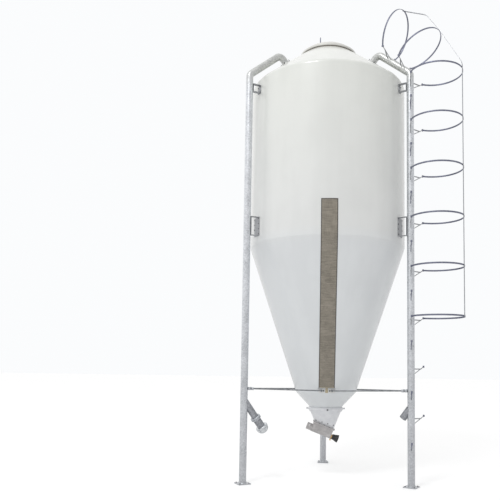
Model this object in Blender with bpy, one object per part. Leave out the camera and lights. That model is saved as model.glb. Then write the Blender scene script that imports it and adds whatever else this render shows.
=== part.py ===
"""A pellet silo: a glass-fibre shell on three galvanised pipe legs.

Two of the legs are bent over the roof, one to fill the silo and one to vent it.
The third stands behind. The vent leg carries a single-stile ladder with a hoop cage.
Under the cone hang the outlet collar, a sheet-metal funnel and an inclined auger boot.

Units are metres, +Z is up and the ground is Z = 0. The level strip faces -Y. Every shape
is worked out about the silo's own axis, and an empty carries that axis to its place, so
that the origin lies at the middle of the whole object's footprint.
"""

import math

import bmesh
import bpy
import numpy as np
from mathutils import Matrix, Vector

# Where the silo's axis stands: the cage reaches out on one side, so it is off centre
SILO_X = -0.2493
SILO_Y = -0.0880

GAP = 0.0003

# Shell
SEGMENTS = 60
FACET = 2 * math.pi / SEGMENTS
SHELL_RADIUS = 1.020
WALL = 0.006
OUTLET_RADIUS = 0.212
OUTLET_Z = 0.905
TIE_RADIUS = 0.390
TIE_Z = 1.095
CONE_TOP_Z = 2.975
CYLINDER_TOP_Z = 5.075
SHOULDER_RADIUS = 0.060
ROOF_SLOPE = math.radians(38)
MANHOLE_RADIUS = 0.335
RIM_OUTER = 0.372
RIM_THICKNESS = 0.010

# Lid
GASKET_HEIGHT = 0.014
LID_RADIUS = 0.380
LID_RIM = 0.030
LID_STEPS = ((0.345, 0.000), (0.325, 0.040), (0.270, 0.075), (0.150, 0.102), (0.000, 0.110))
HANDLE_X = -0.110
HANDLE_REACH = 0.075
HANDLE_HEIGHT = 0.138
HANDLE_ROD = 0.006

# Lid hinge, away from the ladder
HINGE_AZIMUTH = 150
HINGE_R = 0.430
PIN_RADIUS = 0.005
PIN_CLEARANCE = 0.0003
KNUCKLE_RADIUS = 0.012
STRAP_WIDTH = 0.050
STRAP_THICKNESS = 0.006
STRAP_INNER_R = 0.352
EAR_THICKNESS = 0.006
EAR_CLEARANCE = 0.001

# Level strip, left unpainted
STRIP_WIDTH = 0.200
STRIP_TOP_Z = 3.405
STRIP_SHOULDER_Z = 1.162
STRIP_BOTTOM_Z = 1.100
STRIP_TONGUE_WIDTH = 0.034
STRIP_THICKNESS = 0.003
STRIP_ROWS = 8
STRIP_COLUMNS = 9

# Legs
LEG_AZIMUTHS = {"left": 210, "right": 330, "rear": 90}
LEG_CIRCLE = 1.171
PIPE_RADIUS = 0.04445
PIPE_SIDES = 24
BEND_Z = 5.125
BEND_RADIUS = 0.070
BEND_LEAD = 0.020
OVER_SLOPE = math.radians(40.0)
DROP_R = 0.733
PIPE_FLANGE_RADIUS = 0.070
PIPE_FLANGE_THICKNESS = 0.006
REAR_TOP_Z = 5.085
FOOT_SIDE = 0.160
FOOT_THICKNESS = 0.012

# Brackets between shell and legs: low and high edge of each pair
BRACKET_LEVELS = {"upper": (4.885, 5.030), "lower": (3.058, 3.297)}
BRACKET_WIDTH = 0.100
BRACKET_PLATE = 0.006

# Tie rods, from each leg to the cone midway between two legs
TIE_LEG_Z = 1.148
TIE_CONE_Z = 1.127
TIE_ROD = 0.008
TIE_PLATE_Z = (1.100, 1.154)
TIE_PLATE_FACETS = 2
TIE_PLATE_THICKNESS = 0.008
TIE_END_ANGLE = math.radians(9)
TIE_END_R = 0.424
BOSS_RADIUS = 0.014
NUT_LENGTH = 0.022
NUT_RADIUS = 0.015
TIE_NAMES = {
    "front_left_tie": ("left", "right"),
    "front_right_tie": ("right", "left"),
    "right_front_tie": ("right", "rear"),
    "right_rear_tie": ("rear", "right"),
    "left_rear_tie": ("rear", "left"),
    "left_front_tie": ("left", "rear"),
}

# Outlet gear under the cone
COLLAR_INNER = 0.194
COLLAR_TOP_RADIUS = 0.226
COLLAR_LOW_RADIUS = 0.207
COLLAR_STEP_Z = 0.868
COLLAR_LOW_Z = 0.843
EAR_SIZE = (0.034, 0.020, 0.026)
FUNNEL_TOP_RADIUS = 0.198
SHEET = 0.003
BOOT_TILT = math.radians(21.0)
BOOT_CENTRE = (-0.046, 0.601)
BOOT_LENGTH = 0.270
BOOT_HEIGHT = 0.135
BOOT_TOP_WIDTH = 0.170
BOOT_ROUND = 0.052
FLANGE_LENGTH = 0.300
FLANGE_WIDTH = 0.210
FLANGE_THICKNESS = 0.006
SOCKET_OUTER = 0.045
SOCKET_INNER = 0.038
SOCKET_LENGTH = 0.070
BEARING_RADIUS = 0.024
BEARING_LENGTH = 0.016
SHAFT_DROP = 0.015
KNOB_LENGTH = 0.086
KNOB_RADIUS = 0.051

# Branches low on the two pipe legs
BRANCH_SLOPE = math.radians(53.5)
BRANCH_RADIUS = 0.0438
FILL_BRANCH_Z = 1.006
FILL_BRANCH_END = 0.255
COUPLING_RADIUS = 0.065
COUPLING_LENGTH = 0.036
NECK_RADIUS = 0.049
NECK_END = 0.398
CAP_RADIUS = 0.064
CAP_LENGTH = 0.128
VENT_BRANCH_Z = 0.958
VENT_BRANCH_END = 0.180
PIPE_WALL = 0.0032

# Ladder and cage on the right leg
HOOP_TOP_Z = 5.041
HOOP_STEP = 0.600
HOOP_COUNT = 6
HOOP_RADIUS = 0.319
HOOP_SEGMENTS = 28
HOOP_BAR_WIDTH = 0.020
HOOP_BAR_THICKNESS = 0.005
STEP_SIDE = 0.203
STEP_OUT = 0.085
STEP_ROD = 0.007
BRACE_ROD = 0.005
TREAD_DROP = 0.028
TREAD_REACH = 0.80
BRACE_DROP = 0.095
STEP_TIP_RADIUS = 0.011
STEP_TIP_HEIGHT = 0.014
KNOB_HALF_HEIGHT = 0.013
LOWEST_STEP_Z = 0.541
TILTED_RADIUS = 0.305
TILTED_HOOPS = {
    "hoop_over_bend": (0.190, math.radians(32)),
    "hoop_over_roof": (0.415, math.radians(66.5)),
}
BAR_WIDTH = 0.025
BAR_THICKNESS = 0.005
BAR_LOW_Z = 2.030
BAR_BEND_Z = 5.100
BAR_KNEE = (1.385, 5.830)
BAR_BEND_RADIUS = 0.160
BAR_SLACK = 0.001


def clear_scene():
    for obj in list(bpy.data.objects):
        bpy.data.objects.remove(obj, do_unlink=True)


def material(name, colour, roughness, metallic=0.0, alpha=1.0):
    """A Principled material in one plain colour."""
    made = bpy.data.materials.new(name)
    made.use_nodes = True
    shader = made.node_tree.nodes["Principled BSDF"]
    shader.inputs["Base Color"].default_value = (*colour, 1.0)
    shader.inputs["Roughness"].default_value = roughness
    shader.inputs["Metallic"].default_value = metallic
    shader.inputs["Alpha"].default_value = alpha
    return made


def finish(name, bm, paint, axis, helper=False):
    """Turns a bmesh into a named object carried by the silo's axis."""
    bmesh.ops.remove_doubles(bm, verts=bm.verts, dist=1e-6)
    bmesh.ops.recalc_face_normals(bm, faces=bm.faces)
    if bm.calc_volume(signed=True) < 0:
        bmesh.ops.reverse_faces(bm, faces=bm.faces)
    mesh = bpy.data.meshes.new(name)
    bm.to_mesh(mesh)
    bm.free()
    mesh.shade_smooth()
    mesh.set_sharp_from_angle(angle=math.radians(32))
    obj = bpy.data.objects.new(name, mesh)
    bpy.context.scene.collection.objects.link(obj)
    obj.parent = axis
    if helper:
        obj.hide_render = True
        obj.display_type = "WIRE"
    else:
        mesh.materials.append(paint)
    return obj


def loft(loops, closed=False):
    """A bmesh skin through equal loops of points. An open loft gets a flat face at each end."""
    bm = bmesh.new()
    rings = [[bm.verts.new(point) for point in loop] for loop in loops]
    pairs = list(zip(rings, rings[1:]))
    if closed:
        pairs.append((rings[-1], rings[0]))
    for near, far in pairs:
        count = len(near)
        for i in range(count):
            j = (i + 1) % count
            bm.faces.new((near[i], near[j], far[j], far[i]))
    if not closed:
        bm.faces.new(reversed(rings[0]))
        bm.faces.new(rings[-1])
    return bm


def turned(profile, segments=SEGMENTS):
    """A bmesh turned about +Z from a closed outline of (radius, height).

    Half a facet of turn puts the middle of a facet, not a corner, at every multiple of six
    degrees, where the brackets and ties bear on the shell.
    """
    bm = bmesh.new()
    start = math.pi / segments
    verts = [
        bm.verts.new((radius * math.cos(start), radius * math.sin(start), height))
        for radius, height in profile
    ]
    edges = [bm.edges.new((a, b)) for a, b in zip(verts, verts[1:] + verts[:1])]
    bmesh.ops.spin(
        bm,
        geom=verts + edges,
        cent=(0, 0, 0),
        axis=(0, 0, 1),
        angle=2 * math.pi,
        steps=segments,
        use_merge=True,
    )
    return bm


def circle(centre, across, up, radius, sides):
    """One loop of points about centre, in the plane of the unit vectors across and up."""
    turn = 2 * math.pi / sides
    return [
        centre
        + across * (radius * math.cos((i + 0.5) * turn))
        + up * (radius * math.sin((i + 0.5) * turn))
        for i in range(sides)
    ]


def square_to(direction, hint):
    """Two unit vectors square to direction, the first as near hint as it can be."""
    along = direction.normalized()
    first = (hint - along * hint.dot(along)).normalized()
    return first, along.cross(first)


def rod(start, end, radius, sides=8, hint=Vector((0, 0, 1))):
    """A bmesh round bar from start to end."""
    across, up = square_to(end - start, hint)
    return loft([circle(start, across, up, radius, sides), circle(end, across, up, radius, sides)])


def box(size, matrix):
    """A bmesh block of the given size, placed by a matrix."""
    bm = bmesh.new()
    bmesh.ops.create_cube(bm, size=1.0, matrix=matrix @ Matrix.Diagonal((*size, 1.0)))
    return bm


def join(target, helpers):
    """Welds helper solids onto target."""
    for helper in helpers:
        weld = target.modifiers.new("weld " + helper.name, "BOOLEAN")
        weld.operation = "UNION"
        weld.object = helper


def cut(target, helper):
    hole = target.modifiers.new("cut " + helper.name, "BOOLEAN")
    hole.operation = "DIFFERENCE"
    hole.object = helper


def outward(azimuth):
    """The level unit vector that points away from the silo's axis at this azimuth."""
    angle = math.radians(azimuth)
    return Vector((math.cos(angle), math.sin(angle), 0))


def sideways(azimuth):
    return outward(azimuth + 90)


def place(azimuth, radius, height):
    return outward(azimuth) * radius + Vector((0, 0, height))


def flat(radius, segments=SEGMENTS):
    """How far the middle of a facet lies from the axis of a turned shape."""
    return radius * math.cos(math.pi / segments)


def cone_radius(z):
    """Outer radius of the main cone at height z."""
    share = (z - TIE_Z) / (CONE_TOP_Z - TIE_Z)
    return TIE_RADIUS + share * (SHELL_RADIUS - TIE_RADIUS)


def shell_radius(z):
    return SHELL_RADIUS if z >= CONE_TOP_Z else cone_radius(z)


def shoulder_points(radius, count=5):
    """The rounded edge where the wall turns into the roof, and the roof line above it."""
    last = math.pi / 2 - ROOF_SLOPE
    centre = SHELL_RADIUS - SHOULDER_RADIUS
    return [
        (
            centre + radius * math.cos(last * i / count),
            CYLINDER_TOP_Z + radius * math.sin(last * i / count),
        )
        for i in range(count + 1)
    ]


def roof_height(radius):
    """Height of the roof's outer face at this distance from the axis."""
    corner, height = shoulder_points(SHOULDER_RADIUS)[-1]
    return height + (corner - radius) * math.tan(ROOF_SLOPE)


def arc_through(corner, before, after, radius, steps):
    """Points of the round bend that replaces a corner of a path."""
    back = (before - corner).normalized()
    ahead = (after - corner).normalized()
    half_turn = (math.pi - back.angle(ahead)) / 2
    centre = corner + (back + ahead).normalized() * (radius / math.cos(half_turn))
    start = corner + back * radius * math.tan(half_turn) - centre
    end = corner + ahead * radius * math.tan(half_turn) - centre
    full = start.angle(end)
    return [
        centre
        + start * (math.sin((1 - i / steps) * full) / math.sin(full))
        + end * (math.sin(i / steps * full) / math.sin(full))
        for i in range(steps + 1)
    ]


def rounded_path(corners, radius, steps=5):
    """A path through corners with each inner corner made round."""
    path = [corners[0]]
    for before, corner, after in zip(corners, corners[1:], corners[2:]):
        path += arc_through(corner, before, after, radius, steps)
    return path + [corners[-1]]


def path_directions(path):
    """The direction of the path at each of its points."""
    steps = [(b - a).normalized() for a, b in zip(path, path[1:])]
    middle = [(a + b).normalized() for a, b in zip(steps, steps[1:])]
    return [steps[0]] + middle + [steps[-1]]


def round_bar_loops(path, radius, sides, level):
    """Loops for a round bar along a flat path that is square to the vector level."""
    return [
        circle(point, level, direction.cross(level), radius, sides)
        for point, direction in zip(path, path_directions(path))
    ]


def flat_bar_loops(path, width, thickness, level):
    """Loops for a flat bar along a flat path, its width along the vector level."""
    loops = []
    for point, direction in zip(path, path_directions(path)):
        normal = direction.cross(level)
        loops.append(
            [
                point + level * (width / 2 * u) + normal * (thickness / 2 * v)
                for u, v in ((-1, -1), (1, -1), (1, 1), (-1, 1))
            ]
        )
    return loops


def make_shell(paint, axis):
    """The straight wall, open at both ends."""
    low = CONE_TOP_Z + GAP
    high = CYLINDER_TOP_Z - GAP
    inner = SHELL_RADIUS - WALL
    profile = [(SHELL_RADIUS, low), (SHELL_RADIUS, high), (inner, high), (inner, low)]
    finish("shell_cylinder", turned(profile), paint, axis)


def make_roof(paint, axis):
    """The sloping roof with its rounded shoulder, open at the manhole."""
    outer = shoulder_points(SHOULDER_RADIUS)
    inner = shoulder_points(SHOULDER_RADIUS - WALL)
    rim_top = roof_height(RIM_OUTER)
    rim_low = rim_top - RIM_THICKNESS
    rim_inner = inner[-1][0] - (rim_low - inner[-1][1]) / math.tan(ROOF_SLOPE)
    profile = outer + [(RIM_OUTER, rim_top), (MANHOLE_RADIUS, rim_top)]
    profile += [(MANHOLE_RADIUS, rim_low), (rim_inner, rim_low)] + inner[::-1]
    finish("roof", turned(profile), paint, axis)
    return rim_top


def make_lid(paint, dark, steel, axis, rim_top):
    """The gasket on the manhole's rim, the stepped lid and its handle."""
    low = rim_top + GAP
    high = low + GASKET_HEIGHT
    gasket = [(RIM_OUTER - 0.003, low), (RIM_OUTER - 0.003, high), (MANHOLE_RADIUS, high)]
    finish("manhole_gasket", turned(gasket + [(MANHOLE_RADIUS, low)]), dark, axis)

    under = high + GAP
    rim = under + LID_RIM
    bevel = 0.006
    profile = [(0, under), (LID_RADIUS, under), (LID_RADIUS, rim - bevel)]
    profile += [(LID_RADIUS - bevel, rim)] + [(radius, rim + rise) for radius, rise in LID_STEPS]
    finish("lid", turned(profile), paint, axis)

    radii, rises = zip(*reversed(LID_STEPS))
    uphill = math.hypot(HANDLE_X, HANDLE_REACH) - HANDLE_ROD
    foot = rim + float(np.interp(uphill, radii, rises)) + GAP
    top = foot + HANDLE_HEIGHT
    corners = [
        Vector((HANDLE_X, -HANDLE_REACH, foot)),
        Vector((HANDLE_X, -HANDLE_REACH, top)),
        Vector((HANDLE_X, HANDLE_REACH, top)),
        Vector((HANDLE_X, HANDLE_REACH, foot)),
    ]
    path = rounded_path(corners, 0.030)
    loops = round_bar_loops(path, HANDLE_ROD, 10, Vector((1, 0, 0)))
    finish("lid_handle", loft(loops), steel, axis)
    return rim


def make_hinge(steel, axis, lid_rim):
    """A strap on the lid turns on a pin between two ears that stand on the roof."""
    out = outward(HINGE_AZIMUTH)
    side = sideways(HINGE_AZIMUTH)
    turn = Matrix.Rotation(math.radians(HINGE_AZIMUTH), 4, "Z")
    strap_low = lid_rim + GAP
    pin_z = strap_low + STRAP_THICKNESS - KNUCKLE_RADIUS
    pin = place(HINGE_AZIMUTH, HINGE_R, pin_z)

    strap_length = HINGE_R - STRAP_INNER_R
    middle = place(HINGE_AZIMUTH, HINGE_R - strap_length / 2, strap_low + STRAP_THICKNESS / 2)
    strap_size = (strap_length, STRAP_WIDTH, STRAP_THICKNESS)
    strap = finish("hinge_strap", box(strap_size, Matrix.Translation(middle) @ turn), steel, axis)
    half = side * (STRAP_WIDTH / 2)
    knuckle = rod(pin - half, pin + half, KNUCKLE_RADIUS, 24)
    bore_half = side * STRAP_WIDTH
    bore = rod(pin - bore_half, pin + bore_half, PIN_RADIUS + PIN_CLEARANCE, 24)
    join(strap, [finish("knuckle", knuckle, None, axis, helper=True)])
    cut(strap, finish("pin_bore", bore, None, axis, helper=True))

    ear_side = STRAP_WIDTH / 2 + EAR_CLEARANCE + EAR_THICKNESS / 2
    plate_length = 0.074
    plate_thickness = 0.006
    lean = Matrix.Rotation(ROOF_SLOPE, 4, "Y")
    normal = out * math.sin(ROOF_SLOPE) + Vector((0, 0, math.cos(ROOF_SLOPE)))
    seat = place(HINGE_AZIMUTH, flat(HINGE_R), roof_height(HINGE_R))
    seat += normal * (GAP + plate_thickness / 2)
    plate_size = (plate_length, 2 * ear_side + EAR_THICKNESS, plate_thickness)
    plate_matrix = Matrix.Translation(seat) @ turn @ lean
    bracket = finish("hinge_bracket", box(plate_size, plate_matrix), steel, axis)
    ears = []
    for sign in (-1, 1):
        centre = pin + side * (sign * ear_side)
        ear = ear_outline(centre, out, seat.z, roof_height(HINGE_R + 0.018) + 0.006)
        thick = side * (EAR_THICKNESS / 2)
        loops = [[p - thick for p in ear], [p + thick for p in ear]]
        ears.append(finish(f"ear{sign}", loft(loops), None, axis, helper=True))
    shaft_half = side * (ear_side + 0.001)
    shaft = finish("pin", rod(pin - shaft_half, pin + shaft_half, PIN_RADIUS, 24), None, axis, True)
    join(bracket, ears + [shaft])


def ear_outline(pin, out, inner_foot, outer_foot):
    """Round head about the pin, and a foot that runs down to the sloping plate."""
    head = 0.013
    steps = 10
    foot = 0.018
    points = [
        pin + out * (head * math.cos(math.pi * i / steps))
        + Vector((0, 0, head * math.sin(math.pi * i / steps)))
        for i in range(steps + 1)
    ]
    down = Vector((0, 0, 1))
    points.append(pin - out * foot + down * (inner_foot + 0.012 - pin.z))
    points.append(pin + out * foot + down * (outer_foot - 0.006 - pin.z))
    return points


def make_cones(paint, axis):
    """The main cone, and the wider-angled outlet cone under the tie rods."""
    slant = math.hypot(CONE_TOP_Z - TIE_Z, SHELL_RADIUS - TIE_RADIUS)
    wall = WALL * slant / (CONE_TOP_Z - TIE_Z)
    profile = [(TIE_RADIUS, TIE_Z), (SHELL_RADIUS, CONE_TOP_Z)]
    profile += [(SHELL_RADIUS - wall, CONE_TOP_Z), (TIE_RADIUS - wall, TIE_Z)]
    finish("hopper_cone", turned(profile), paint, axis)

    slant = math.hypot(TIE_Z - OUTLET_Z, TIE_RADIUS - OUTLET_RADIUS)
    wall = WALL * slant / (TIE_Z - OUTLET_Z)
    low = OUTLET_Z + GAP
    high = TIE_Z - GAP
    profile = [(OUTLET_RADIUS, low), (TIE_RADIUS, high), (TIE_RADIUS - wall, high)]
    finish("outlet_cone", turned(profile + [(OUTLET_RADIUS - wall, low)]), paint, axis)


def strip_loops(heights, width, inset):
    """Curved outlines across the front of the shell, its two faces brought in by inset."""
    across = np.linspace(-width / 2, width / 2, STRIP_COLUMNS)
    loops = []
    for z in heights:
        inner = shell_radius(z) + 2 * GAP + inset
        outer = inner + STRIP_THICKNESS - 2 * inset
        loop = [Vector((x, -math.sqrt(outer**2 - x**2), z)) for x in across]
        loop += [Vector((x, -math.sqrt(inner**2 - x**2), z)) for x in across[::-1]]
        loops.append(loop)
    return loops


def make_strip(paint, axis):
    """The see-through level strip, laid on the wall and on down the cone to a short tongue."""
    rows = [STRIP_TOP_Z] + np.linspace(CONE_TOP_Z, STRIP_SHOULDER_Z, STRIP_ROWS).tolist()
    strip = finish("level_strip", loft(strip_loops(rows, STRIP_WIDTH, 0)), paint, axis)
    rows = [STRIP_SHOULDER_Z + 0.010, STRIP_BOTTOM_Z]
    tongue = loft(strip_loops(rows, STRIP_TONGUE_WIDTH, GAP))
    join(strip, [finish("strip_tongue", tongue, None, axis, helper=True)])


def foot_matrix(azimuth):
    centre = place(azimuth, LEG_CIRCLE, FOOT_THICKNESS / 2)
    return Matrix.Translation(centre) @ Matrix.Rotation(math.radians(azimuth), 4, "Z")


def make_leg(side, top, steel, axis):
    """A straight pipe welded to its square foot plate."""
    azimuth = LEG_AZIMUTHS[side]
    start = place(azimuth, LEG_CIRCLE, FOOT_THICKNESS / 2)
    pipe = rod(start, place(azimuth, LEG_CIRCLE, top), PIPE_RADIUS, PIPE_SIDES, outward(azimuth))
    leg = finish(side + "_leg", pipe, steel, axis)
    foot = box((FOOT_SIDE, FOOT_SIDE, FOOT_THICKNESS), foot_matrix(azimuth))
    join(leg, [finish(side + "_foot", foot, None, axis, helper=True)])
    return leg


def over_pipe_corners(azimuth):
    """Corners of a pipe that runs from a leg's top over the roof and down on to it."""
    drop_z = BEND_Z + (LEG_CIRCLE - DROP_R) * math.tan(OVER_SLOPE)
    into_roof = Vector((-math.sin(ROOF_SLOPE), -math.cos(ROOF_SLOPE)))
    above = (drop_z - roof_height(DROP_R)) * math.cos(ROOF_SLOPE)
    end = Vector((DROP_R, drop_z)) + into_roof * (above - GAP)
    flat_corners = [(LEG_CIRCLE, BEND_Z), (DROP_R, drop_z), (end.x, end.y)]
    return [place(azimuth, radius, height) for radius, height in flat_corners]


def leg_top_z():
    """Where the straight leg ends, a little below the bend."""
    return BEND_Z - BEND_RADIUS * math.tan((math.pi / 2 - OVER_SLOPE) / 2) - BEND_LEAD


def make_over_pipe(side, steel, axis):
    """The bent top of a leg, with a small flange where it meets the roof."""
    azimuth = LEG_AZIMUTHS[side]
    start = place(azimuth, LEG_CIRCLE, leg_top_z() + GAP)
    path = rounded_path([start] + over_pipe_corners(azimuth), BEND_RADIUS)
    down = (path[-1] - path[-2]).normalized()
    lip = path[-1] - down * PIPE_FLANGE_THICKNESS
    loops = round_bar_loops(path[:-1] + [lip], PIPE_RADIUS, PIPE_SIDES, sideways(azimuth))
    across = sideways(azimuth)
    up = down.cross(across)
    loops.append(circle(lip, across, up, PIPE_FLANGE_RADIUS, PIPE_SIDES))
    loops.append(circle(path[-1], across, up, PIPE_FLANGE_RADIUS, PIPE_SIDES))
    finish(side + "_over_pipe", loft(loops), steel, axis)


def make_bracket(level, side, steel, axis):
    """A folded box of plate between the shell and a leg."""
    azimuth = LEG_AZIMUTHS[side]
    low, high = BRACKET_LEVELS[level]
    near = flat(SHELL_RADIUS) + GAP
    far = LEG_CIRCLE - flat(PIPE_RADIUS, PIPE_SIDES) - GAP
    plate = BRACKET_PLATE
    outer = [(near, low), (far, low), (far, high), (near, high)]
    inner = [(near + plate, low + plate), (far - plate, low + plate)]
    inner += [(far - plate, high - plate), (near + plate, high - plate)]
    across = sideways(azimuth) * (BRACKET_WIDTH / 2)
    loops = []
    for outline, shift in ((outer, -across), (outer, across), (inner, across), (inner, -across)):
        loops.append([place(azimuth, radius, z) + shift for radius, z in outline])
    finish(f"{level}_bracket_{side}", loft(loops, closed=True), steel, axis)


def between(azimuth_a, azimuth_b):
    """The azimuth midway along the shorter way from a to b."""
    return azimuth_a + ((azimuth_b - azimuth_a + 180) % 360 - 180) / 2


def make_tie(name, sides, steel, axis):
    """A rod from one leg to a small curved plate on the cone, just short of midway to the next."""
    azimuth, other = (LEG_AZIMUTHS[side] for side in sides)
    middle = between(azimuth, other)
    side = math.copysign(1, (azimuth - middle + 180) % 360 - 180)
    loops = []
    for i in range(TIE_PLATE_FACETS + 1):
        angle = math.degrees(FACET) * side * (i + 0.5)
        low, high = TIE_PLATE_Z
        near = GAP * 1.5
        far = near + TIE_PLATE_THICKNESS
        outline = [(cone_radius(low) + near, low), (cone_radius(low) + far, low)]
        outline += [(cone_radius(high) + far, high), (cone_radius(high) + near, high)]
        loops.append([place(middle + angle, radius, z) for radius, z in outline])
    tie = finish(name, loft(loops), steel, axis)
    at_cone = middle + side * math.degrees(TIE_END_ANGLE)
    inner = place(at_cone, TIE_END_R, TIE_CONE_Z)
    leg = place(azimuth, LEG_CIRCLE, TIE_LEG_Z)
    along = (leg - inner).normalized()
    level = Vector((along.x, along.y, 0)).length
    outer = leg - along * ((PIPE_RADIUS + 2 * GAP) / level)
    nut = outer - along * NUT_LENGTH
    boss = place(at_cone, cone_radius(TIE_CONE_Z) + 0.0065, TIE_CONE_Z)
    tip = place(at_cone, TIE_END_R + BOSS_RADIUS, TIE_CONE_Z)
    pieces = [rod(inner, outer, TIE_ROD, 12), rod(boss, tip, BOSS_RADIUS, 12)]
    pieces.append(rod(nut, outer, NUT_RADIUS, 6))
    join(tie, [finish(f"{name}_{i}", bm, None, axis, True) for i, bm in enumerate(pieces)])


def make_outlet(steel, sheet, axis):
    """The clamp collar under the outlet cone, and the funnel that hangs from it."""
    high = OUTLET_Z - GAP
    profile = [(COLLAR_INNER, COLLAR_LOW_Z), (COLLAR_LOW_RADIUS, COLLAR_LOW_Z)]
    profile += [(COLLAR_TOP_RADIUS, COLLAR_STEP_Z), (COLLAR_TOP_RADIUS, high)]
    collar = finish("outlet_collar", turned(profile + [(COLLAR_INNER, high)]), steel, axis)
    ears = []
    for sign in (-1, 1):
        middle = Vector((sign * (COLLAR_TOP_RADIUS + 0.010), 0, COLLAR_STEP_Z + 0.012))
        ear = box(EAR_SIZE, Matrix.Translation(middle))
        ears.append(finish(f"collar_ear{sign}", ear, None, axis, helper=True))
    join(collar, ears)

    top = COLLAR_LOW_Z - GAP
    loops = []
    for inset in (0, SHEET):
        ring = circle(
            Vector((0, 0, top)), Vector((1, 0, 0)), Vector((0, 1, 0)), FUNNEL_TOP_RADIUS - inset, 24
        )
        foot = [funnel_foot(point.x, point.y, inset) for point in ring]
        loops += [ring, foot] if inset == 0 else [foot, ring]
    finish("outlet_funnel", loft(loops, closed=True), sheet, axis)


def boot_frame():
    """Matrix of the boot: its X runs down along the auger, its Z is square to the lid flange."""
    x, z = BOOT_CENTRE
    return Matrix.Translation((x, 0, z)) @ Matrix.Rotation(BOOT_TILT, 4, "Y")


def funnel_foot(x, y, inset):
    """The point of the funnel's slanting foot under the point (x, y) of its round top."""
    half_length = 0.136 - inset
    half_width = 0.080 - inset
    reach = math.hypot(x, y)
    power = 4.0
    cosine, sine = x / reach, y / reach
    stretch = (abs(cosine) ** power + abs(sine) ** power) ** (-1 / power)
    above = BOOT_HEIGHT / 2 + FLANGE_THICKNESS + GAP
    return boot_frame() @ Vector((half_length * cosine * stretch, half_width * sine * stretch, above))


def make_boot(steel, brass, black, axis):
    """The auger boot with its flange, its socket above, the bearing and knob below."""
    frame = boot_frame()
    low = -BOOT_HEIGHT / 2 + BOOT_ROUND
    steps = 8
    first = math.radians(165)
    last = math.radians(375)
    outline = [(BOOT_TOP_WIDTH / 2, BOOT_HEIGHT / 2), (-BOOT_TOP_WIDTH / 2, BOOT_HEIGHT / 2)]
    for i in range(steps + 1):
        angle = first + (last - first) * i / steps
        outline.append((BOOT_ROUND * math.cos(angle), low + BOOT_ROUND * math.sin(angle)))
    loops = [
        [frame @ Vector((end * BOOT_LENGTH / 2, y, z)) for y, z in outline] for end in (-1, 1)
    ]
    boot = finish("auger_boot", loft(loops), steel, axis)
    lift = Matrix.Translation((0, 0, BOOT_HEIGHT / 2 + FLANGE_THICKNESS / 2 - 0.0005))
    flange_size = (FLANGE_LENGTH, FLANGE_WIDTH, FLANGE_THICKNESS + 0.001)
    flange = finish("boot_flange", box(flange_size, frame @ lift), None, axis, helper=True)
    join(boot, [flange])

    def along(distance, drop=0.0):
        return frame @ Vector((distance, 0, low - drop))

    across = Vector((0, 1, 0))
    up = (along(1) - along(0)).cross(across)
    near = -BOOT_LENGTH / 2 - GAP
    bead = 0.003
    socket = [
        (near, SOCKET_OUTER),
        (near - SOCKET_LENGTH + 0.014, SOCKET_OUTER),
        (near - SOCKET_LENGTH + 0.010, SOCKET_OUTER + bead),
        (near - SOCKET_LENGTH, SOCKET_OUTER + bead),
        (near - SOCKET_LENGTH, SOCKET_INNER),
        (near, SOCKET_INNER),
    ]
    loops = [circle(along(x), across, up, radius, 24) for x, radius in socket]
    finish("hose_socket", loft(loops, closed=True), steel, axis)

    near = BOOT_LENGTH / 2 + GAP
    far = near + BEARING_LENGTH
    bearing = [(near, BEARING_RADIUS + 0.006), (near + 0.006, BEARING_RADIUS + 0.006)]
    bearing += [(near + 0.006, BEARING_RADIUS), (far, BEARING_RADIUS)]
    loops = [circle(along(x, SHAFT_DROP), across, up, radius, 12) for x, radius in bearing]
    finish("end_bearing", loft(loops), brass, axis)

    near = far + GAP
    knob = [(0.0, 0.034), (0.012, 0.035), (0.066, KNOB_RADIUS - 0.003), (0.072, KNOB_RADIUS)]
    knob += [(KNOB_LENGTH - 0.006, KNOB_RADIUS), (KNOB_LENGTH, KNOB_RADIUS - 0.008)]
    loops = [circle(along(near + x, SHAFT_DROP), across, up, radius, 24) for x, radius in knob]
    finish("end_knob", loft(loops), black, axis)


def branch_line(side, start_z):
    """Start and direction of a branch that leaves a leg inwards and down."""
    azimuth = LEG_AZIMUTHS[side]
    start = place(azimuth, LEG_CIRCLE, start_z)
    direction = outward(azimuth) * -math.cos(BRANCH_SLOPE)
    return start, direction - Vector((0, 0, math.sin(BRANCH_SLOPE))), sideways(azimuth)


def branch_loops(start, direction, across, outline, sides=24):
    up = direction.cross(across)
    return [circle(start + direction * d, across, up, radius, sides) for d, radius in outline]


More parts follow.
